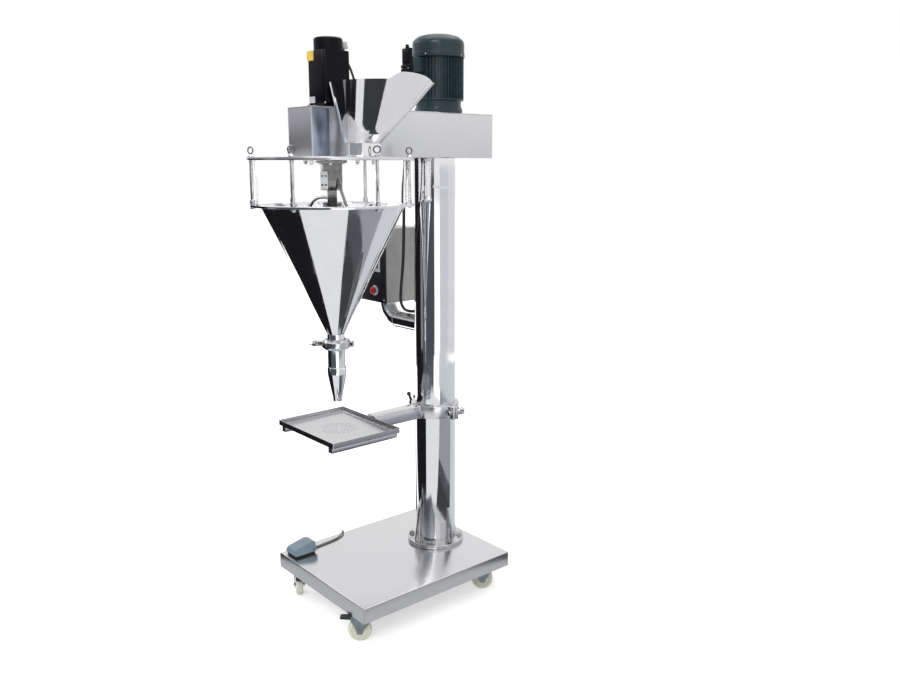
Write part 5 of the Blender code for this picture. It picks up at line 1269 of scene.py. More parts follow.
class FILLER_OT_hopper(bpy.types.Operator):
    """Lid plate, clear cylinder, cone with its ring and outlet ferrule"""

    bl_idname = "filler.hopper"
    bl_label = "Hopper"

    def execute(self, context):
        values = sizes()
        axis = upright((HOPPER_X, HOPPER_Y, 0))
        bearing_radius = 0.0355
        lid = Shape()
        lid.lathe([
            (LID.radius, LID.high.z, 0.0012), (LID.radius, LID.low.z, 0.0012),
            (bearing_radius + GAP, LID.low.z), (bearing_radius + GAP, LID.high.z)], axis, 160)
        plate = lid.object("hopper_top_plate", "plate_steel", "hopper_lid",
                           slot="brushed_stainless")
        port = Shape().disc(PORT_RADIUS - 0.002, LID.low.z - 0.01, LID.high.z + 0.01,
                            upright((PORT.x, PORT.y, 0)), 0.0, 64)
        carve(plate, cutter(port))

        wall = values.cylinder_wall
        clear = Shape()
        clear.lathe([(CYLINDER.radius, CYLINDER.high.z, 0.0006),
                     (CYLINDER.radius, CYLINDER.low.z, 0.0006),
                     (CYLINDER.radius - wall, CYLINDER.low.z, 0.0006),
                     (CYLINDER.radius - wall, CYLINDER.high.z, 0.0006)], axis, 160, 2)
        clear.object("clear_cylinder", "clear_acrylic", "hopper_cylinder", slot="clear_acrylic")

        ring_top = CONE.high.z
        ring_bottom = ring_top - 0.008
        outer = CONE.radius
        cone_radius = 0.240
        sheet = values.cone_sheet
        neck = values.neck_radius
        bore = neck - 0.002
        joint = CONE.low.z
        ferrule = TUBE.radius
        neck_top = 1.024
        cone = Shape()
        cone.lathe([(outer, ring_top, 0.001), (outer, ring_bottom, 0.001),
                    (cone_radius, ring_bottom), (neck, neck_top, 0.004),
                    (neck, joint + 0.010, 0.001), (ferrule, joint + 0.0055, 0.001),
                    (ferrule, joint, 0.0006), (bore, joint), (bore, neck_top, 0.004),
                    (cone_radius - sheet, ring_bottom), (cone_radius - sheet, ring_top)], axis,
                   192, 4)
        cone.object("cone", "polished_steel", "hopper_cone")

        seams = Shape()
        seams.ring(cone_radius + 0.0005, 0.0012,
                   upright((HOPPER_X, HOPPER_Y, ring_bottom - 0.0004)), 160, 8)
        seams.object("cone_weld", "weld_bead")

        studs = Shape()
        bore = 0.016 + GAP
        studs.lathe([(bearing_radius, BEARING.low.z), (bearing_radius, LID.high.z + 0.002),
                     (bore, LID.high.z + 0.002), (bore, BEARING.low.z)], axis, 64)
        studs.lathe([
            (bearing_radius, LID.low.z - 0.012), (0.052, LID.low.z - 0.010, 0.001),
            (0.052, LID.low.z - GAP, 0.0006), (bearing_radius, LID.low.z - GAP)], axis, 64, 2)
        # The bearing barrel takes the stirrer's darkened steel, painted shade.
        studs.object("bearing_barrel", "stirrer_steel", "bearing_housing")
        nuts = Shape()
        for angle in range(25, 385, 60):
            spot = around(HOPPER_X, HOPPER_Y, 0.044, angle, LID.low.z - 0.010)
            nuts.cap_screw(facing(-Z_AXIS, spot), 0.0045, 0.005)
        for x, y in ((-0.129, -0.02), (-0.085, -0.10), (0.072, -0.12), (-0.04, 0.13),
                     (0.10, 0.10)):
            spot = near_hopper(x, y, LID.low.z)
            nuts.bolt(facing(-Z_AXIS, spot, x * 40), 0.0190, 0.0080, 0.0110)
            nuts.disc(0.0060, 0.009, 0.016, facing(-Z_AXIS, spot), 0.0020, 20)
        nuts.object("lid_nuts", "turned_steel")
        return {"FINISHED"}


EYE_TURNS = (50.0, 78.0, 40.0, 75.0, 20.0, 60.0)


class FILLER_OT_tie_rods(bpy.types.Operator):
    """Tie rods with collars, nuts and lifting eyes"""

    bl_idname = "filler.tie_rods"
    bl_label = "Tie rods"

    def execute(self, context):
        values = sizes()
        rod = values.post_radius - 0.0002
        ring_top = CONE.high.z
        ring_bottom = ring_top - 0.008
        lid_top = LID.high.z
        nut = 0.0095
        for index in range(values.post_count):
            angle = 360.0 * index / values.post_count
            place = upright(around(HOPPER_X, HOPPER_Y, values.post_circle, angle, 0))
            shape = Shape()
            shape.disc(rod, ring_bottom - 0.009, lid_top + 0.006, place, 0.0006, 32)
            shape.hexagon(2 * nut, ring_bottom - GAP - 0.0070, ring_bottom - GAP, place)
            shape.disc(0.0088, ring_top + GAP, ring_top + 0.014, place, 0.0010, 32)
            eye_base = lid_top + GAP
            shape.lathe([(0, eye_base), (0.0105, eye_base, 0.0005),
                         (0.0105, eye_base + 0.003, 0.001), (0.0070, eye_base + 0.006, 0.002),
                         (0.0050, eye_base + 0.010, 0.001), (0, eye_base + 0.011)], place, 32)
            eye_centre = lid_top + 0.022
            turn = upright((0, 0, eye_centre), EYE_TURNS[index % len(EYE_TURNS)])
            eye = Shape()
            eye.ring(values.eye_radius, 0.0023, place @ turn @ LYING, 48, 14)
            # The eye's steel is darkened and the rod's lightened, painted shade and painted light.
            eye.object("lifting_eye_" + str(index + 1), "eye_steel")
            shape.object("tie_rod_" + str(index + 1) + "_turned", "rod_steel",
                         "tie_rod_" + str(index + 1))
        return {"FINISHED"}


class FILLER_OT_stirrer(bpy.types.Operator):
    """Stirrer with its hub and bent rods, and the auger inside it"""

    bl_idname = "filler.stirrer"
    bl_label = "Stirrer and auger"

    def execute(self, context):
        node = Extent("stirrer")
        hub_top = BEARING.low.z - GAP
        hub_bottom = hub_top - 0.0624
        sleeve = 0.016
        hub_radius = 0.035
        top = node.high.z
        bottom = 1.440
        axis = upright((HOPPER_X, HOPPER_Y, 0))
        shape = Shape()
        shape.lathe([(sleeve, top, 0.0006), (sleeve, hub_top), (hub_radius, hub_top, 0.001),
                     (hub_radius, hub_bottom, 0.001), (sleeve, hub_bottom),
                     (sleeve, bottom, 0.001), (0.0105, bottom), (0.0105, top)], axis, 64, 2)
        for side, route in ((1, STIRRER_RIGHT), (-1, STIRRER_LEFT)):
            route = route[0] + tuple((rod_reach(height), height) for height in route[1])
            path = smooth_route([near_hopper(side * x, 0, z) for x, z in route], 0.010)
            shape.tube(path, 0.0049, 16)
        # The stirrer's steel is darkened overall, painted shade.
        shape.object("stirrer_frame", "stirrer_steel", "stirrer", body="stirring_gear")
        plate = Shape()
        front = facing(Vector((0.76, -0.65, 0)), near_hopper(-0.0133, -0.0156, 1.537))
        plate_face = hub_radius - 0.0005
        plate.block((-0.012, -0.028, plate_face - 0.022), (0.012, 0.028, plate_face), 0.0008, 2,
                    front)
        # The clamp plate's pale enamel is a painted reflection of bright steel.
        plate.object("stirrer_clamp_plate", "pale_plate", body="stirring_gear")
        screws = Shape()
        for x in (-0.006, 0.006):
            for y in (-0.014, 0.014):
                screws.cap_screw(front @ Matrix.Translation((x, y, plate_face)), 0.0030, 0.002)
        screws.object("stirrer_clamp_screws", "black_plastic", body="stirring_gear")
        refinished("auger_screw", "turned_steel")
        return {"FINISHED"}


def rod_reach(height):
    """How far from the axis a stirrer rod runs beside the cone's wall."""
    neck = sizes().neck_radius
    share = (height - CONE.low.z) / (HOPPER_FLANGE - CONE.low.z)
    return neck + share * (CONE_MOUTH - neck) - WALL_CLEARANCE


HOPPER_FLANGE = 1.454
CONE_MOUTH = 0.240
WALL_CLEARANCE = 0.014
# Each rod: its points from the hub, as (reach, height), then its heights beside the wall.
STIRRER_RIGHT = (((0.028, 1.548), (0.095, 1.440)), (1.330, 1.090))
STIRRER_LEFT = (((0.013, 1.482), (0.0675, 1.482), (0.105, 1.474), (0.135, 1.455)), (1.380, 1.110))


# Feed funnel

PORT = Vector((COLUMN_X + 0.170, COLUMN_Y - 0.430))
PORT_RADIUS = 0.060
PORT_TOP = LID.high.z + GAP + 0.042
RIM_X = 0.055
RIM_Y = 0.0405
RIM_RADIUS = 0.1615
RIM_RISE = 0.177
LIP_RISE = 0.019
LIP_HEADING = -18.0
LIP_FRONT = 10.0
LIP_REAR = 50.0


def funnel_ring(radius, share, sides, raised=False, inset=0.0):
    """A level ring of the oblique cone, or its lipped rim."""
    points = []
    for index in range(sides):
        angle = math.tau * index / sides
        lift = 0.0
        grown = share
        if raised:
            away = (math.degrees(angle) - LIP_HEADING + 180) % 360 - 180
            spread = LIP_REAR if away > 0 else LIP_FRONT
            if abs(away) < spread:
                lift = LIP_RISE * math.cos(math.radians(90 * away / spread))
            grown = 1 + lift / RIM_RISE
        reach = PORT_RADIUS + (radius - PORT_RADIUS) * grown - inset
        points.append(Vector((PORT.x + RIM_X * grown + reach * math.cos(angle),
                              PORT.y + RIM_Y * grown + reach * math.sin(angle),
                              PORT_TOP + RIM_RISE * grown)))
    return points


class FILLER_OT_funnel(bpy.types.Operator):
    """Oblique feed funnel with its raised lip, round port and welded seam"""

    bl_idname = "filler.funnel"
    bl_label = "Feed funnel"

    def execute(self, context):
        sides = 160
        wall = sizes().cone_sheet
        shape = Shape()
        part = bmesh.new()
        levels = []
        for inset in (0.0, wall):
            rim = funnel_ring(RIM_RADIUS, 1.0, sides, True, inset)
            throat = funnel_ring(RIM_RADIUS, 0.0, sides, False, inset)
            levels.append((throat, rim))
        rings = [[part.verts.new(point) for point in ring]
                 for ring in (levels[0][0], levels[0][1], levels[1][1], levels[1][0])]
        for lower, upper in zip(rings, rings[1:] + rings[:1]):
            for index in range(sides):
                after = (index + 1) % sides
                part.faces.new((lower[index], lower[after], upper[after], upper[index]))
        face_outward(part)
        shape.take(part)
        port = upright((PORT.x, PORT.y, 0))
        seat = LID.high.z + GAP
        shape.lathe([(PORT_RADIUS, PORT_TOP), (PORT_RADIUS, seat + 0.004, 0.001),
                     (0.067, seat + 0.003, 0.001), (0.067, seat, 0.0005),
                     (PORT_RADIUS - wall, seat), (PORT_RADIUS - wall, PORT_TOP)], port, 96)
        shape.object("funnel", "polished_steel", "feed_funnel")
        trim = Shape()
        trim.ring(PORT_RADIUS + 0.0002, 0.0011, upright((PORT.x, PORT.y, PORT_TOP)), 96, 8)
        trim.object("funnel_weld", "weld_bead")
        screws = Shape()
        for angle in (20, 110, 200, 290):
            screws.pan_screw(upright(around(PORT.x, PORT.y, 0.0635, angle, seat + 0.003)), 0.0030)
        screws.object("funnel_screws", "turned_steel")
        return {"FINISHED"}


# Outlet


class FILLER_OT_outlet(bpy.types.Operator):
    """Auger tube, tapered nozzle and the clamp that holds them on the hopper"""

    bl_idname = "filler.outlet"
    bl_label = "Outlet"

    def execute(self, context):
        values = sizes()
        axis = upright((HOPPER_X, HOPPER_Y, 0))
        neck = values.neck_radius
        bore = neck - 0.002
        top = TUBE.high.z
        tube = Shape()
        tube.lathe([(TUBE.radius, top, 0.0006), (TUBE.radius, top - 0.0055, 0.001),
                    (neck, top - 0.010, 0.001), (neck, TUBE.low.z), (bore, TUBE.low.z),
                    (bore, top)], axis, 96)
        tube.object("outlet_tube", "polished_steel", "auger_tube")
        nozzle = Shape()
        shoulder = NOZZLE.high.z - 0.025
        tip = 0.0155
        seat = TUBE.low.z - GAP
        nozzle.lathe([(NOZZLE.radius - 0.001, NOZZLE.high.z, 0.0008),
                      (NOZZLE.radius, NOZZLE.high.z - 0.003, 0.001),
                      (NOZZLE.radius, shoulder, 0.003), (tip + 0.0012, NOZZLE.low.z + 0.014, 0.01),
                      (tip, NOZZLE.low.z, 0.0006), (tip - 0.0022, NOZZLE.low.z, 0.0004),
                      (bore, shoulder), (bore, seat), (neck + GAP, seat),
                      (neck + GAP, NOZZLE.high.z)], axis, 96, 4)
        nozzle.object("nozzle", "polished_steel", "auger_nozzle")

        joint = (CONE.low.z + TUBE.high.z) / 2
        turn = upright((HOPPER_X, HOPPER_Y, joint), values.clamp_turn)
        half_height = 0.016
        for name, side in (("front", -1), ("rear", 1)):
            node = "outlet_clamp_" + name
            band = Shape()
            self.half_band(band, turn, side, half_height)
            ear = 0.010
            split = 0.0005
            start = 0.0460
            for first, last in ((-0.081, -start), (start, 0.0615)):
                low = Vector((first, min(side * split, side * (split + ear)), -0.009))
                high = Vector((last, max(side * split, side * (split + ear)), 0.009))
                band.block(low, high, 0.002, 3, turn)
            band.object("clamp_band_" + name, "turned_steel", node)

        nut = Shape()
        bolt_x = -0.072
        face = 0.0105 + GAP

        def across(offset, direction=-1):
            return turn @ facing(Y_AXIS * direction, Vector((bolt_x, offset, 0)))

        nut.disc(0.0039, -0.0245, 0.0135, across(-face), 0.0005, 24)
        nut.lathe([(0, 0.0), (0.0085, 0.0, 0.0008), (0.0068, 0.012, 0.002), (0.0058, 0.016, 0.001),
                   (0, 0.016)], across(-face), 32)
        for side in (-1, 1):
            wing = rounded([(side * 0.003, 0.002, 0.001), (side * 0.010, 0.002, 0.003),
                            (side * 0.017, 0.0085, 0.003), (side * 0.0188, 0.0165, 0.003),
                            (side * 0.0135, 0.0175, 0.003), (side * 0.004, 0.011, 0.002)], steps=4)
            flat = across(-face) @ LYING
            nut.plate(wing, 0.0030, flat @ Matrix.Translation((0, 0, -0.0015)), 0.0008)
        nut.disc(0.0068, 0.0, 0.0055, across(face, 1), 0.0012, 32)
        nut.object("clamp_wing_nut", "turned_steel", "outlet_clamp_wing_nut", body="clamp_nut")
        pivot = Shape()
        pin = turn @ Matrix.Translation((0.0570, 0, 0))
        pivot.disc(0.0036, -0.0105, 0.0105, pin, 0.0008, 24)
        pivot.object("clamp_hinge_pin", "turned_steel")
        return {"FINISHED"}

    def half_band(self, shape, turn, side, half):
        """One half of the clamp's grooved band."""
        radius = 0.0495
        groove = 0.0063
        lip = sizes().neck_radius + 0.0035
        start = 0.54 + (180.0 if side < 0 else 0.0)
        place = turn @ Matrix.Rotation(math.radians(start), 4, "Z")
        shape.part_turn([(radius, half * 0.55, 0.002), (radius, -half * 0.55, 0.002),
                         (radius - 0.006, -half, 0.002), (lip, -half, 0.0006), (lip, -groove),
                         (0.0428, -groove), (0.0428, groove), (lip, groove), (lip, half, 0.0006),
                         (radius - 0.006, half, 0.002)], math.pi * 0.994, 48, place)


# Tray

# Holes on a ring of the tray, as a share of those that would stand one pitch apart.
HOLE_CROWDING = 0.92


class FILLER_OT_tray(bpy.types.Operator):
    """Perforated tray on its rails and arm, with the split collar and its two locks"""

    bl_idname = "filler.tray"
    bl_label = "Tray"

    def execute(self, context):
        values = sizes()
        sheet = 0.0015
        pan = Shape()
        open_box(pan, PAN.low, PAN.high, sheet, 0.0022, "+Z")
        # The tray's steel is darkened overall, painted shade.
        pan_piece = pan.object("tray_sheet", "tray_steel", "tray_pan", body="tray_carriage",
                               slot="brushed_stainless")
        holes = Shape()
        pitch = 0.0090
        for ring in range(1, values.tray_hole_rings + 1):
            count = round(math.tau * ring * HOLE_CROWDING)
            for x, y in circle(ring * pitch, count, 17.0 * ring):
                spot = Vector((PAN.middle.x + x, PAN.middle.y + y, PAN.low.z - 0.002))
                holes.disc(values.tray_hole, 0.0, 0.006, upright(spot), 0.0, 12)
        carve(pan_piece, cutter(holes))

        arm_top = ARM.high.z
        arm_bottom = ARM.low.z
        collar = Shape()
        self.collar_half(collar, -1, arm_bottom, arm_top)
        half_width = 0.024
        start = COLUMN_Y - 0.0880
        end = PAN.high.y + 0.0035
        collar.block((COLUMN_X - half_width, end, arm_bottom),
                     (COLUMN_X + half_width, start, arm_top), 0.0022, 3)
        rail = 0.020
        rail_top = PAN.low.z - GAP
        rail_low = PAN.low.y + 0.006
        rail_high = PAN.high.y - 0.006
        for side in (-1, 1):
            x = COLUMN_X + side * 0.150
            collar.block((x - rail / 2, rail_low, rail_top - rail),
                         (x + rail / 2, rail_high, rail_top), 0.0012, 2)
        collar.block((COLUMN_X - 0.155, end - 0.022, rail_top - rail + 0.001),
                     (COLUMN_X + 0.155, end + 0.001, rail_top - 0.0005), 0.0010, 2)
        collar.object("tray_arm_welded", "plate_steel", "tray_arm", body="tray_carriage",
                      slot="brushed_stainless")
        rear = Shape()
        self.collar_half(rear, 1, arm_bottom, arm_top)
        rear.object("collar_rear_half", "turned_steel", "tray_collar_rear", body="tray_carriage",
                    slot="brushed_stainless")

        plugs = Shape()
        for side in (-1, 1):
            x = COLUMN_X + side * 0.150
            plugs.block((x - rail / 2 + 0.001, rail_low - 0.003, rail_top - rail + 0.001),
                        (x + rail / 2 - 0.001, rail_low + 0.001, rail_top - 0.001), 0.0012, 2)
        plugs.object("rail_end_plugs", "black_plastic", body="tray_carriage", slot="black_plastic")

        middle = (arm_bottom + arm_top) / 2
        fasteners = Shape()
        outer = 0.0133
        fasteners.bolt(facing(-Y_AXIS, near_column(0.106, -outer, middle)), 0.0190, 0.0090, 0.0125)
        fasteners.bolt(facing(Y_AXIS, near_column(-0.106, outer, middle)), 0.0165, 0.0080, 0.0110)
        fasteners.object("collar_bolts", "turned_steel", body="tray_carriage",
                         slot="brushed_stainless")

        welds = Shape()
        for z in (arm_bottom, arm_top):
            welds.tube([near_column(-half_width, -0.0875, z), near_column(half_width, -0.0875, z)],
                       0.0018, 8)
        welds.object("arm_welds", "weld_bead", body="tray_carriage", slot="brushed_stainless")
        self.lever(middle)
        self.knob(middle)
        return {"FINISHED"}

    def collar_half(self, shape, side, bottom, top):
        bore = COLUMN.radius + GAP
        outer = bore + 0.0139
        split = 0.001
        gap_angle = math.asin(split / bore)
        start = gap_angle + (math.pi if side < 0 else 0.0)
        place = upright((COLUMN_X, COLUMN_Y, 0)) @ Matrix.Rotation(start, 4, "Z")
        shape.part_turn([(outer, top, 0.0015), (outer, bottom, 0.0015), (bore, bottom, 0.0005),
                         (bore, top, 0.0005)], math.pi - 2 * gap_angle, 64, place)
        for ear in (-1, 1):
            first, last = sorted((ear * 0.0860, ear * 0.1218))
            near, far = sorted((side * split, side * (split + 0.012)))
            shape.block(near_column(first, near, bottom), near_column(last, far, top), 0.003, 3)

    def lever(self, middle):
        """Ratchet lever: hub, tapered handle and ball."""
        lever = Shape()
        x = -0.106
        face = 0.0133
        hub = facing(-Y_AXIS, near_column(x, -face, middle))
        lever.lathe([(0, 0.0), (0.0095, 0.0, 0.0008), (0.0100, 0.018, 0.002),
                     (0.0078, 0.0255, 0.003), (0, 0.0262)], hub, 40, 4)
        start = near_column(x, -face - 0.017, middle)
        tip = near_column(x - 0.006, -face - 0.026, middle + 0.034)
        path = [start.lerp(tip, step / 8) for step in range(9)]
        lever.tube(path, [0.0062 - 0.0020 * step / 8 for step in range(9)], 20)
        lever.ball(0.0083, Matrix.Translation(tip), 14)
        lever.disc(0.0050, -0.045, 0.0, hub, 0.0006, 24)
        lever.object("lock_lever_moulded", "black_plastic", "tray_lock_lever", body="lock_lever",
                     slot="black_plastic")

    def knob(self, middle):
        """Five-lobed knob on its stud."""
        knob = Shape()
        x = 0.106
        face = 0.0133
        seat = facing(Y_AXIS, near_column(x, face, middle))
        knob.lathe([(0, 0.0), (0.0088, 0.0, 0.0008), (0.0088, 0.010, 0.002),
                    (0.0110, 0.016, 0.002), (0, 0.018)], seat, 40)
        lobes = []
        for index in range(60):
            angle = math.tau * index / 60
            radius = 0.0142 + 0.0017 * math.cos(5 * angle)
            lobes.append((radius * math.cos(angle), radius * math.sin(angle)))
        knob.plate(lobes, 0.0175, seat @ Matrix.Translation((0, 0, 0.0155)), 0.0025)
        knob.disc(0.0050, -0.029, 0.0, seat, 0.0006, 24)
        knob.object("lock_knob_lobed", "turned_steel", "tray_lock_knob", body="lock_knob",
                    slot="cast_iron")


# Control box


class FILLER_OT_control(bpy.types.Operator):
    """Control box on its elbow pipe, with door, display and emergency stop"""

    bl_idname = "filler.control"
    bl_label = "Control box"

    def execute(self, context):
        values = sizes()
        radius = values.elbow_radius
        height = ELBOW.low.z + radius
        riser_x = BOX.middle.x
        start = Vector((ELBOW.high.x, COLUMN_Y, height))
        corner = riser_x + values.elbow_bend
        path = [start, Vector((corner + 0.002, COLUMN_Y, height))]
        steps = 24
        for index in range(steps + 1):
            angle = math.pi / 2 * index / steps
            path.append(Vector((corner - values.elbow_bend * math.sin(angle), COLUMN_Y,
                                height + values.elbow_bend * (1 - math.cos(angle)))))
        path.append(Vector((riser_x, COLUMN_Y, ELBOW.high.z)))
        pipe = Shape().tube(path, radius, 64, radius - 0.003)
        pipe.object("elbow_pipe", "polished_steel", "control_elbow")
        welds = Shape()
        for spot, direction in ((Vector((corner, COLUMN_Y, height)), X_AXIS),
                                (Vector((riser_x, COLUMN_Y, height + values.elbow_bend)), Z_AXIS)):
            welds.ring(radius + 0.0002, 0.0011, facing(direction, spot), 64, 8)
        welds.object("elbow_welds", "weld_bead")
        collar = Shape()
        collar.lathe([
            (radius + GAP, 0), (radius + 0.009, 0, 0.0006), (radius + 0.009, 0.004, 0.001),
            (radius + GAP, 0.004)], upright((riser_x, COLUMN_Y, BOX.low.z - 0.004)), 64, 2)
        collar.object("box_mount_ring", "turned_steel")

        shell = Shape()
        open_box(shell, BOX.low, BOX.high, 0.002, 0.0025, "-Y")
        shell.object("box_shell", "box_paint", "control_box", slot="grey_paint")

        ring_depth = 0.005
        front = DOOR.low.y + ring_depth
        door = Shape()
        door.block((DOOR.low.x, front, DOOR.low.z), (DOOR.high.x, DOOR.high.y, DOOR.high.z),
                   0.0012, 2)
        leaf = door.object(
            "door_leaf", "panel_paint", "control_panel", body="control_door", slot="panel_black")
        window = Shape(
            ).block((DISPLAY.low.x + 0.008, front - 0.01, DISPLAY.low.z + 0.008),
                    (DISPLAY.high.x - 0.008, front + 0.02, DISPLAY.high.z - 0.008), 0.0, 1)
        stem_hole = Shape(
            ).disc(0.0093, -0.02, 0.02, facing(Y_AXIS, Vector((STOP.x, front, STOP.z))), 0.0, 40)
        carve(leaf, cutter(window), cutter(stem_hole))

        self.display(front)
        self.stop_button(front)
        trim = Shape()
        margin = 0.011
        for x in (DOOR.low.x + margin, DOOR.high.x - margin):
            for z in (DOOR.low.z + margin, DOOR.high.z - margin):
                trim.pan_screw(facing(-Y_AXIS, Vector((x, front, z))), 0.0036)
        trim.object("door_screws", "turned_steel", body="control_door", slot="panel_black")
        return {"FINISHED"}

    def display(self, front):
        """Bezel frame with a sunk glass, and the body behind it."""
        low = DISPLAY.low
        high = DISPLAY.high
        bezel = Shape()
        bezel.block((low.x, low.y, low.z), (high.x, front - GAP, high.z), 0.0014, 3)
        bezel.block((low.x + 0.0085, front - 0.001, low.z + 0.0085),
                    (high.x - 0.0085, high.y, high.z - 0.0085), 0.0012, 2)
        body = bezel.object("display_bezel", "frame_plastic", "control_display",
                            body="control_door", slot="screen_frame")
        recess = Shape().block((low.x + 0.012, low.y - 0.002, low.z + 0.014),
                               (high.x - 0.012, low.y + 0.0012, high.z - 0.012), 0.0, 1)
        carve(body, cutter(recess))
        glass = Shape()
        glass.block((low.x + 0.0122, low.y + 0.0006, low.z + 0.0142),
                    (high.x - 0.0122, low.y + 0.0011, high.z - 0.0122), 0.0001, 1)
        glass.object("display_glass", "screen_glass", body="control_door", slot="screen_frame")

    def stop_button(self, front):
        """Ring boss on the door, and the mushroom button that slides in it."""
        out = facing(-Y_AXIS, Vector((STOP.x, front, STOP.z)))
        ring = Shape()
        ring.lathe([(0.0195, 0.0), (0.0195, 0.0035, 0.001), (0.0165, 0.005, 0.001),
                    (0.0095, 0.005, 0.0005), (0.0095, 0.0)], out, 64)
        ring.object("stop_ring", "frame_plastic", body="control_door", slot="panel_black")
        reach = front - STOP_NODE.low.y
        stem = -(STOP_NODE.high.y - front)
        button = Shape()
        button.lathe([(0, reach), (0.0085, reach - 0.0004, 0.004), (0.0140, reach - 0.0030, 0.003),
                      (0.0145, reach - 0.0070, 0.002), (0.0130, reach - 0.0098, 0.001),
                      (0.0088, reach - 0.0099, 0.0005), (0.0088, stem), (0, stem)], out, 64, 4)
        button.object("stop_mushroom", "stop_red", "emergency_stop", body="stop_button",
                      slot="stop_red")


# Foot switch and cables


class FILLER_OT_foot_switch(bpy.types.Operator):
    """Foot switch with its sloping cover and black base"""

    bl_idname = "filler.foot_switch"
    bl_label = "Foot switch"

    def execute(self, context):
        low = SWITCH.low
        high = SWITCH.high
        deck = DECK.high.z
        cover = Shape()
        part = bmesh.new()
        front_height = deck + 0.030
        rear_height = high.z - 0.0005
        outline = rounded([
            (low.y, low.z), (high.y, low.z), (high.y, rear_height - 0.004, 0.003),
            (high.y - 0.018, rear_height, 0.006), (low.y + 0.002, front_height, 0.004)], steps=4)
        face = part.faces.new([part.verts.new((low.x, point.x, point.y)) for point in outline])
        push(part, face, (high.x - low.x, 0, 0))
        for vert in part.verts:
            if vert.co.z > deck + 0.020:
                vert.co.x += (SWITCH.middle.x - vert.co.x) * 0.26
        face_outward(part)
        bottom = [face for face in part.faces if face.normal.z < -0.9]
        rims = [edge for edge in part.edges
                if abs(edge.verts[0].co.x - edge.verts[1].co.x) < SWITCH.size.x * 0.2
                and min(vert.co.z for vert in edge.verts) > deck + 0.020]
        bmesh.ops.delete(part, geom=bottom, context="FACES")
        rims = [edge for edge in rims if edge.is_valid]
        bevel(part, rims, 0.002, 3)
        face_outward(part)
        bmesh.ops.solidify(part, geom=part.faces[:], thickness=0.0028)
        cover.take(part)
        cover.object("switch_cover", "pedal", "foot_switch_pedal", body="switch_pedal",
                     slot="pedal_blue_grey")
        base = Shape()
        base.block((low.x + 0.0048, SWITCH_BASE.low.y, SWITCH_BASE.low.z),
                   (high.x - 0.0048, SWITCH_BASE.high.y, deck + 0.0083), 0.0012, 2)
        base.block((low.x + 0.008, high.y - 0.022, deck + 0.0075),
                   (high.x - 0.008, high.y - 0.0065, deck + 0.018), 0.0010, 2)
        base.disc(0.0028, -SWITCH.size.x / 2 + 0.0006, SWITCH.size.x / 2 - 0.0006,
                  facing(X_AXIS, Vector((SWITCH.middle.x, high.y - 0.011, deck + 0.015))), 0.0003,
                  20)
        base.object("switch_base", "black_plastic", "foot_switch_base", slot="black_plastic")
        return {"FINISHED"}


def cable_curve(name, points, radius, finish_name, replaced):
    """A cable along points as one open curve, so its own line is its length."""
    curve = bpy.data.curves.new(name, "CURVE")
    curve.dimensions = "3D"
    curve.bevel_depth = radius
    curve.bevel_resolution = 4
    curve.use_fill_caps = True
    spline = curve.splines.new("POLY")
    spline.points.add(len(points) - 1)
    for point, spot in zip(spline.points, points):
        point.co = (*spot, 1.0)
    curve.materials.append(finish(finish_name))
    spline.use_smooth = True
    piece = linked(name, curve)
    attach(piece, "frame")
    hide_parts(replaced)
    return piece


def route_length(points):
    return sum((end - start).length for start, end in zip(points, points[1:]))


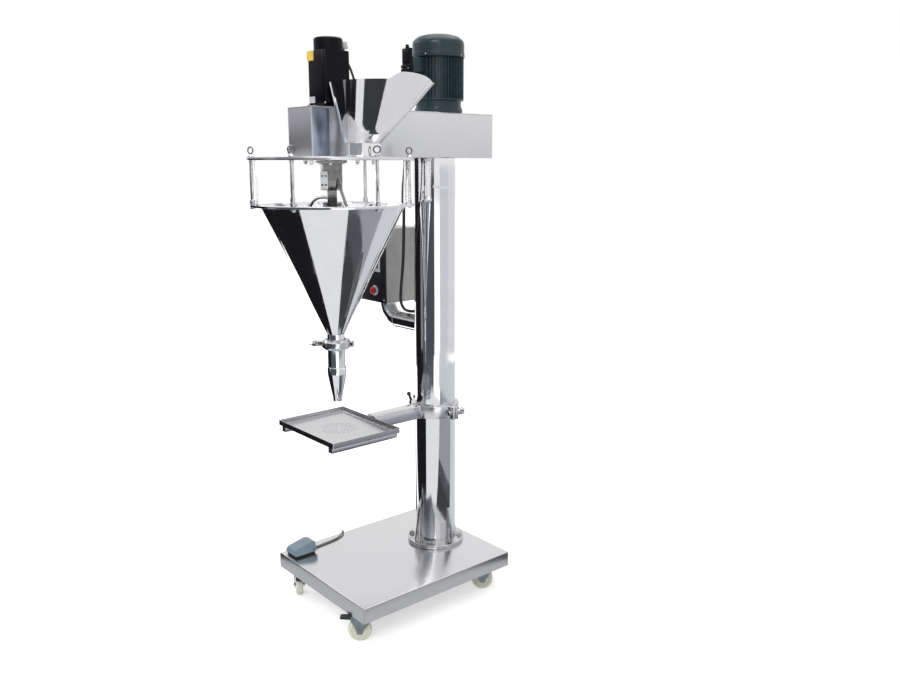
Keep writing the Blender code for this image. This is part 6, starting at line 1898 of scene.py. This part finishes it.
class FILLER_OT_cables(bpy.types.Operator):
    """The motors' cable, the servo's short cable and the foot switch's cord"""

    bl_idname = "filler.cables"
    bl_label = "Cables"

    def execute(self, context):
        values = sizes()
        rest = ELBOW.low.z + 2 * values.elbow_radius
        rest += values.head_cable_radius + GAP
        entry = HEAD_CABLE_ENTRY
        low = HOUSING.low.z
        route = [near_column(*spot)
                 for spot in ((0, HEAD_CABLE_Y, low - 0.001), (0, HEAD_CABLE_Y, low - 0.010),
                              (0, HEAD_CABLE_Y, low - 0.040), (-0.012, -0.128, 1.500),
                              (-0.040, -0.110, 1.380), (-0.085, -0.080, 1.250),
                              (-0.132, -0.056, 1.130), (-0.158, -0.038, 1.075),
                              (-0.168, -0.014, rest + 0.010), (-0.150, 0, rest + 0.002),
                              (-0.125, 0, rest + 0.005), (-0.102, 0, entry), (-0.087, 0, entry),
                              (-0.0765, 0, entry))]
        points = smooth_route(route, 0.008)
        cable = cable_curve("motor_cable", points, values.head_cable_radius - 0.0002,
                            "cable_black", "head_cable")
        route_length(points)

        start = Extent("servo_cable")
        top = start.high.z
        middle_y = ENCODER.high.y - 0.010
        end_y = COLUMN_Y - 0.322
        route = [Vector((HOPPER_X, middle_y, top - GAP)), Vector((HOPPER_X, middle_y, 1.943)),
                 Vector((HOPPER_X, middle_y, 1.930)), near_column(0, -0.356, 1.900),
                 near_column(0, -0.339, 1.860), near_column(0, -0.328, 1.820),
                 Vector((HOPPER_X, end_y, 1.790)), Vector((HOPPER_X, end_y, 1.775)),
                 Vector((HOPPER_X, end_y, COVER.high.z + 0.001))]
        points = smooth_route(route, 0.006)
        cable = cable_curve(
            "servo_lead", points, 0.0039, "cable_black", "servo_cable")
        route_length(points)
        gland = Shape()
        place = upright((HOPPER_X, end_y, COVER.high.z))
        gland.hexagon(0.0170, 0.0, 0.005, place)
        gland.lathe([(0.0041, 0.005), (0.0076, 0.005), (0.0074, 0.010, 0.001),
                     (0.0052, 0.0135, 0.001), (0.0041, 0.0135)], place, 32, 2)
        gland.object("servo_lead_gland", "black_plastic", slot="black_plastic")

        on_deck = DECK.high.z + values.cord_radius + GAP
        on_floor = values.cord_radius + GAP
        edge = DECK.low.x - COLUMN_X
        exit_y = SWITCH_BASE.high.y - COLUMN_Y + GAP
        route = [near_column(*spot)
                 for spot in ((-0.225, exit_y, on_deck + 0.001), (-0.225, exit_y + 0.022, on_deck),
                              (-0.229, -0.380, on_deck), (-0.233, -0.340, on_deck),
                              (-0.240, -0.305, on_deck), (-0.254, -0.276, on_deck + 0.001),
                              (edge + 0.008, -0.258, on_deck + 0.003),
                              (edge - 0.004, -0.249, on_deck + 0.001),
                              (edge - 0.009, -0.243, on_deck - 0.014),
                              (edge - 0.009, -0.235, 0.112), (edge - 0.009, -0.222, 0.075),
                              (edge - 0.006, -0.205, 0.035), (edge + 0.010, -0.180, 0.011),
                              (-0.232, -0.150, on_floor), (-0.170, -0.112, on_floor),
                              (-0.110, -0.072, on_floor), (-0.058, -0.036, 0.012),
                              (-0.022, -0.013, 0.042), (-0.004, -0.002, 0.090), (0, 0, 0.135),
                              (0, 0, DECK.high.z + 0.040))]
        points = smooth_route(route, 0.006)
        cord = cable_curve("switch_cord", points, values.cord_radius - 0.0001, "cord_sheath",
                           "foot_switch_cord")
        route_length(points)
        relief = Shape()
        path = [points[0] + Vector((0, -0.001, 0)), *points[1:5]]
        relief.tube(path, [0.0052, 0.0050, 0.0044, 0.0038, 0.0034], 20)
        relief.object("switch_cord_relief", "black_plastic", slot="black_plastic")
        return {"FINISHED"}


# Stage

CAMERA_AZIMUTH = 49.5945
CAMERA_PITCH = 11.454
CAMERA_X = 2.4186
CAMERA_Y = -1.9843
CAMERA_Z = 1.5862
FOCAL_PIXELS = 850.85
IMAGE_WIDTH = 900


def seen_directly(tree):
    """1 for what the camera sees, also in a mirror or through glass, and 0 for soft light."""
    path = tree.nodes.new("ShaderNodeLightPath")
    seen = (Value(tree, path.outputs["Is Camera Ray"]) + Value(tree, path.outputs["Is Glossy Ray"])
            + Value(tree, path.outputs["Is Transmission Ray"]))
    return add_node(tree, "ShaderNodeClamp", None, {"Value": seen})


def empty_tree(owner):
    """The cleared shader tree of a material or world."""
    owner.use_nodes = True
    owner.node_tree.nodes.clear()
    return owner.node_tree


def show(tree, shader, output="ShaderNodeOutputMaterial"):
    tree.links.new(shader.socket, tree.nodes.new(output).inputs["Surface"])


def floor_material():
    """Matt pale floor that also glows for the camera and reflections, more so far away."""
    material = bpy.data.materials.new("floor_white")
    tree = empty_tree(material)
    seen = seen_directly(tree)
    spot = add_node(tree, "ShaderNodeTexCoord", output="Object")
    distance = add_node(tree, "ShaderNodeVectorMath", {"operation": "LENGTH"}, {0: spot}, output=1)
    far = add_node(
        tree, "ShaderNodeMapRange", {"interpolation_type": "SMOOTHSTEP"},
        {"Value": distance, "From Min": 0.9, "From Max": 3.4, "To Min": FLOOR_GLOW, "To Max": 1.0})
    matt = add_node(tree, "ShaderNodeBsdfDiffuse", None, {"Color": (0.80, 0.80, 0.80, 1.0)})
    light = add_node(
        tree, "ShaderNodeEmission", None, {"Color": (1, 1, 1, 1), "Strength": seen * far})
    total = add_node(tree, "ShaderNodeAddShader", None, {0: matt, 1: light})
    show(tree, total)
    return material


def card_material(name, tone):
    """A plain tone for a card that is only seen mirrored."""
    material = bpy.data.materials.new(name)
    tree = empty_tree(material)
    light = add_node(tree, "ShaderNodeEmission", None, {"Color": (*tone, 1.0), "Strength": 1.0})
    show(tree, light)
    return material


def area_light(name, spot, target, side, power):
    """A square lamp at a spot, looking at its target."""
    light = bpy.data.lights.new(name, "AREA")
    light.shape = "RECTANGLE"
    light.size = side
    light.size_y = side
    light.energy = power
    linked(name, light).matrix_world = facing(Vector(spot) - Vector(target), spot)


def mirror_card(name, part, tone):
    """Makes a bmesh into a stage object that only mirrors see."""
    mesh = mesh_of(part, name)
    mesh.materials.append(card_material(name + "_tone", tone))
    card = linked(name, mesh)
    card.visible_camera = False
    card.visible_diffuse = False
    card.visible_shadow = False
    card.visible_transmission = False


def curved_card(name, middle, first, last, near, far, tone):
    """A card swept about an upright axis between two (radius, height) points, seen mirrored.

    Its two headings are in degrees, counted from the camera's side of the axis.
    """
    towards_camera = CAMERA_AZIMUTH - 90.0
    part = bmesh.new()
    ends = [part.verts.new((radius, 0.0, height)) for radius, height in (near, far)]
    edge = part.edges.new(ends)
    spin(part, [*ends, edge], math.radians(last - first), 24)
    bmesh.ops.transform(
        part, matrix=upright((middle[0], middle[1], 0), towards_camera + first), verts=part.verts)
    mirror_card(name, part, tone)


def hanging_card(name, corners, tone):
    """A level card below the funnel, seen mirrored in the funnel alone."""
    turn = upright((PORT.x, PORT.y, CARD_LEVEL), CAMERA_AZIMUTH - 90.0)
    part = bmesh.new()
    part.faces.new([part.verts.new(turn @ Vector((*corner, 0))) for corner in corners])
    mirror_card(name, part, tone)


class FILLER_OT_stage(bpy.types.Operator):
    """Pale floor, soft light, cards seen only in mirrors, and the camera"""

    bl_idname = "filler.stage"
    bl_label = "Stage"

    def execute(self, context):
        scene = context.scene
        camera_data = bpy.data.cameras.new("camera")
        camera_data.sensor_width = 36.0
        camera_data.lens = FOCAL_PIXELS * camera_data.sensor_width / IMAGE_WIDTH
        camera_data.clip_end = 100.0
        camera = linked("camera", camera_data)
        heading = math.radians(CAMERA_AZIMUTH)
        pitch = math.radians(CAMERA_PITCH)
        level = Vector((-math.sin(heading), math.cos(heading), 0))
        forward = level * math.cos(pitch) - Z_AXIS * math.sin(pitch)
        place = Matrix.Translation(near_column(CAMERA_X, CAMERA_Y, CAMERA_Z))
        camera.matrix_world = place @ forward.to_track_quat("-Z", "Y").to_matrix().to_4x4()
        scene.camera = camera

        part = bmesh.new()
        bmesh.ops.create_grid(part, x_segments=1, y_segments=1, size=30.0)
        mesh = mesh_of(part, "floor")
        mesh.materials.append(floor_material())
        linked("floor", mesh)

        world = bpy.data.worlds.new("studio")
        tree = empty_tree(world)
        seen = seen_directly(tree)
        background = add_node(tree, "ShaderNodeBackground", None,
                              {"Color": (1, 1, 1, 1),
                               "Strength": WORLD_LIGHT + seen * (1.0 - WORLD_LIGHT)})
        show(tree, background, "ShaderNodeOutputWorld")
        scene.world = world

        target = (HOPPER_X, HOPPER_Y, 1.0)
        for name, spot, side, power in LIGHTS:
            area_light(name, spot, target, side, power)
        hopper_axis = (HOPPER_X, HOPPER_Y)
        column_axis = (COLUMN_X, COLUMN_Y)
        for name, first, last, near, far, tone in FLOOR_CARDS:
            curved_card(name, hopper_axis, first, last, (near, 0.001), (far, 0.001), tone)
        deck_middle = (DECK.middle.x, DECK.middle.y)
        curved_card("floor_card_deck", deck_middle, 0.0, 360.0, (0.01, 0.002),
                    (DECK_CARD_REACH, 0.002), DECK_CARD_TONE)
        for name, corners, tone in FUNNEL_CARDS:
            hanging_card(name, corners, tone)
        for name, first, last, low, high, tone in WALL_CARDS:
            curved_card(name, column_axis, first, last, (CARD_DISTANCE, low),
                        (CARD_DISTANCE, high), tone)
        scene.view_settings.view_transform = "Standard"
        return {"FINISHED"}


# Each lamp: its place, the length of its side and its power in watts.
LIGHTS = (("key", (2.6, -3.2, 3.4), 2.4, 120), ("fill", (-3.4, -1.6, 2.6), 2.4, 60),
          ("top", (0.2, 0.4, 4.2), 3.0, 70),)
WORLD_LIGHT = 0.55
FLOOR_GLOW = 0.42
CARD_DISTANCE = 3.6
# Each floor card: its first and last heading, its near and far reach, and its tone.
FLOOR_CARDS = (
    ("floor_card_left", -145.0, -53.0, 0.45, 2.6, (0.012, 0.012, 0.014)),
    ("floor_card_middle", -53.0, 37.0, 0.45, 2.6, (0.92, 0.93, 0.95)),
    ("floor_card_slate", 37.0, 104.0, 0.45, 1.17, (0.055, 0.060, 0.065)),
    ("floor_card_slate_edge", 37.0, 104.0, 1.17, 1.42, (0.090, 0.098, 0.108)),
    ("floor_card_pale", 104.0, 166.0, 0.45, 4.2, (0.72, 0.74, 0.77)),
    ("floor_card_rear", 166.0, 196.0, 0.45, 3.0, (0.02, 0.02, 0.022)),
    ("floor_card_far_left", -130.0, -69.0, 2.6, 7.0, (0.012, 0.012, 0.014)),
    ("floor_card_far_camera", -69.0, 0.0, 2.6, 4.2, (0.085, 0.095, 0.115)),
    ("floor_card_far_grey", 37.0, 104.0, 1.42, 2.9, (0.36, 0.38, 0.41)),
    ("floor_card_far_right", 30.0, 104.0, 2.9, 4.2, (0.70, 0.72, 0.76)),
)
DECK_CARD_REACH = 0.72
DECK_CARD_TONE = (0.60, 0.61, 0.62)
CARD_LEVEL = 1.50
# Corners of the two cards under the funnel, as (towards the camera, to its right) of the port.
FUNNEL_CARDS = (
    ("funnel_card_dark", ((0.470, -0.230), (0.390, 0.160), (0.104, 0.130), (0.205, -0.051)),
     (0.045, 0.048, 0.052)),
    ("funnel_card_pale", ((0.390, 0.160), (0.400, 0.450), (-0.550, 0.900), (-0.272, 0.303),
                          (0.104, 0.130)), (0.82, 0.82, 0.84)),
)
# Each wall card: its first and last heading, its lower and upper edge, and its tone.
WALL_CARDS = (
    ("wall_card_left", -134.0, -84.0, 0.0, 1.68, (0.010, 0.010, 0.012)),
    ("wall_card_left_top", -130.0, -74.0, 1.68, 3.2, (0.50, 0.485, 0.53)),
    ("wall_card_grey", -84.0, -69.0, 0.15, 1.68, (0.25, 0.25, 0.27)),
    ("wall_card_camera", -69.0, 0.0, 0.10, 1.52, (0.075, 0.09, 0.11)),
    ("wall_card_camera_top", -69.0, 0.0, 1.52, 3.2, (0.33, 0.34, 0.36)),
    ("wall_card_right", 30.0, 80.0, 0.10, 1.58, (0.70, 0.72, 0.76)),
    ("wall_card_right_pale", 80.0, 160.0, 0.10, 1.58, (0.82, 0.82, 0.83)),
)


class FILLER_PT_panel(bpy.types.Panel):
    """Lists the operators and the settings"""

    bl_idname = "FILLER_PT_panel"
    bl_label = "Auger powder filler"
    bl_space_type = "VIEW_3D"
    bl_region_type = "UI"
    bl_category = "Filler"

    def draw(self, context):
        layout = self.layout
        for operator in OPERATORS:
            layout.operator(operator.bl_idname)
        for group in (context.scene.filler_sizes, context.scene.filler_colours):
            box = layout.box()
            for name in group.__annotations__:
                box.prop(group, name)


OPERATORS = (FILLER_OT_stage, FILLER_OT_cables, FILLER_OT_deck, FILLER_OT_casters,
             FILLER_OT_column, FILLER_OT_housing, FILLER_OT_motor, FILLER_OT_terminal_box,
             FILLER_OT_servo, FILLER_OT_hopper, FILLER_OT_tie_rods, FILLER_OT_stirrer,
             FILLER_OT_funnel, FILLER_OT_outlet, FILLER_OT_tray, FILLER_OT_control,
             FILLER_OT_foot_switch)
CLASSES = (FillerSizes, FillerColours, *OPERATORS, FILLER_PT_panel)


def register():
    for item in CLASSES:
        bpy.utils.register_class(item)
    bpy.types.Scene.filler_sizes = PointerProperty(type=FillerSizes)
    bpy.types.Scene.filler_colours = PointerProperty(type=FillerColours)


def unregister():
    del bpy.types.Scene.filler_colours
    del bpy.types.Scene.filler_sizes
    for item in reversed(CLASSES):
        bpy.utils.unregister_class(item)


def main():
    register()
    for operator in OPERATORS:
        family, name = operator.bl_idname.split(".")
        getattr(getattr(bpy.ops, family), name)()


if __name__ == "__main__":
    main()
